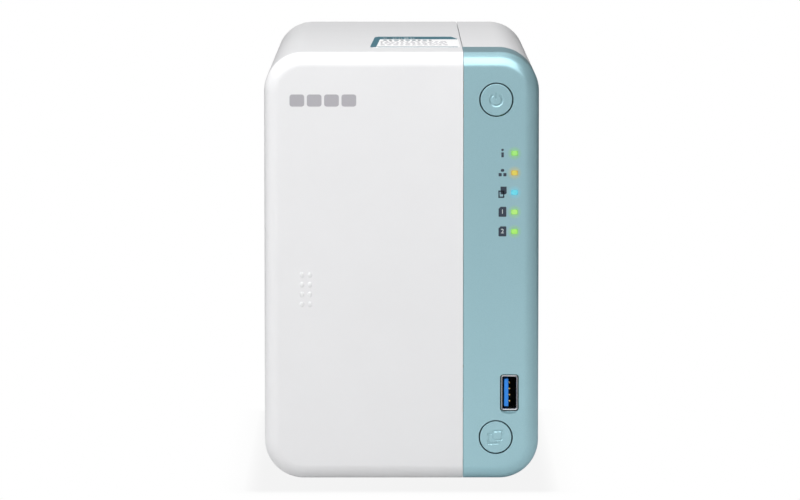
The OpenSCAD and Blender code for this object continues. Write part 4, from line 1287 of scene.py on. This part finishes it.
def make_softboxes():
    for name, at, aim, size, power, glossy in SOFTBOXES:
        data = bpy.data.lights.new(name, "AREA")
        data.shape = "RECTANGLE"
        data.size, data.size_y = size
        data.energy = power
        light = show(bpy.data.objects.new(name, data))
        light.location = at
        light.rotation_euler = (Vector(aim) - Vector(at)).to_track_quat("-Z", "Y").to_euler()
        light.visible_camera = False
        light.visible_glossy = glossy


def seen_or_lit(tree, to_object, to_camera):
    """One shader for the camera's own rays and another for all the rest."""
    fac = add_node(tree, "LightPath", {}, "Is Camera Ray")
    return add_node(tree, "MixShader", {"Fac": fac, 1: to_object, 2: to_camera}, "Shader")


def make_world():
    """White to the camera; to the object a studio: bright above and left, dark right and low behind."""
    world = bpy.data.worlds.new("world")
    bpy.context.scene.world = world
    world.use_nodes = True
    tree = world.node_tree
    tree.nodes.clear()
    direction = add_node(tree, "TexCoord", {}, "Generated")
    x, y, z = (axis_part(tree, direction, axis) for axis in "XYZ")
    above = smooth_change(tree, z, -1, 0.9, SKY_LOW, SKY_TOP)
    left = smooth_change(tree, x, -0.9, -0.3, SKY_LEFT, 1.0)
    right = smooth_change(tree, x, 0.05, 0.5, 1.0, SKY_RIGHT)
    behind = smooth_change(tree, y, 0.1, 0.6, 0.0, 1 - SKY_BACK)
    low_down = smooth_change(tree, z, 0.2, 0.5, 1.0, 0.0)
    lit = math_node(tree, "SUBTRACT", 1.0, math_node(tree, "MULTIPLY", behind, low_down))
    strength = math_node(tree, "MULTIPLY", above, lit)
    for side in (left, right):
        strength = math_node(tree, "MULTIPLY", strength, side)
    glow = add_node(tree, "Background", {"Color": WHITE, "Strength": strength}, "Background")
    white = add_node(tree, "Background", {"Color": WHITE}, "Background")
    feed(tree, tree.nodes.new("ShaderNodeOutputWorld"), {"Surface": seen_or_lit(tree, glow, white)})


def beside_footprint(tree):
    """Distance on the floor from the object's standing box, in metres."""
    past = {}
    for axis, half in (("X", HALF_W), ("Y", -FRONT_Y)):
        size = math_node(tree, "ABSOLUTE", axis_part(tree, place(tree), axis))
        past[axis] = math_node(tree, "MAXIMUM", math_node(tree, "SUBTRACT", size, half), 0.0)
    flat = add_node(tree, "CombineXYZ", past, "Vector")
    return add_node(tree, "VectorMath", {0: flat}, "Value", operation="LENGTH")


def make_floor():
    """A pale floor, seen white with a painted soft contact shadow, and clear from below."""
    bm = bmesh.new()
    bmesh.ops.create_grid(bm, x_segments=1, y_segments=1, size=12)
    floor = mesh_object("floor", bm, outward=False)
    material, tree, shader = new_material("floor")
    far = smooth_change(tree, axis_part(tree, place(tree), "Y"), 0.15, 0.5, 0.0, 1.0)
    feed(tree, shader, {
        "Base Color": ramp(tree, far, [(0.0, (FLOOR_PALE,) * 3), (1.0, (FLOOR_FAR,) * 3)]),
        "Emission Color": WHITE,
        "Emission Strength": smooth_change(tree, beside_footprint(tree), 0.0, 60 * MM, FLOOR_LIFT, 0.0),
        "Roughness": 0.9,
        "Specular IOR Level": 0.1,
    })
    # painted contact shadow: the camera sees the floor's own glow, a little darker near the object's
    # footprint
    near_object = smooth_change(tree, beside_footprint(tree), 0.0, 20 * MM, 0.0, 1.0)
    shadow = ramp(tree, near_object, [(0.0, (0.90,) * 3), (0.4, (0.98,) * 3), (1.0, (1.0,) * 3)])
    glow = add_node(tree, "Emission", {"Color": shadow}, "Emission")
    from_above = seen_or_lit(tree, shader.outputs["BSDF"], glow)
    sides = {
        "Fac": add_node(tree, "NewGeometry", {}, "Backfacing"),
        1: from_above,
        2: add_node(tree, "BsdfTransparent", {}, "BSDF"),
    }
    feed(tree, tree.nodes["Material Output"], {"Surface": add_node(tree, "MixShader", sides, "Shader")})
    floor.data.materials.append(material)


# -------------------- everything

def make_plain_nodes():
    """CAD nodes whose shape is right keep it, with edge radii and their own material."""
    replaced = {name for obj in bpy.data.objects for name in obj.get("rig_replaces", [])}
    looks = {"base_pan": "white_inside", "rear_panel": "rear_plastic"}
    for node in sorted(NODES):
        if node not in replaced:
            soften_cad(node, looks.get(node, SLOT_OF[node]))


bpy.context.scene.view_settings.view_transform = "Standard"
for build in (make_camera, make_world, make_floor, make_softboxes, make_cover, make_bezel, make_side_shell,
              make_cover_mark, make_sticker, make_icons, make_lights, make_buttons, make_front_usb,
              make_all_screws, make_feet, make_rear_usb, make_lan_socket, make_power_jack, make_reset_button,
              make_fan, make_capacitors, make_chips, make_coils, make_coin_cell):
    build()
for drive in ("drive_1", "drive_2"):
    make_drive_details(drive)
make_plain_nodes()
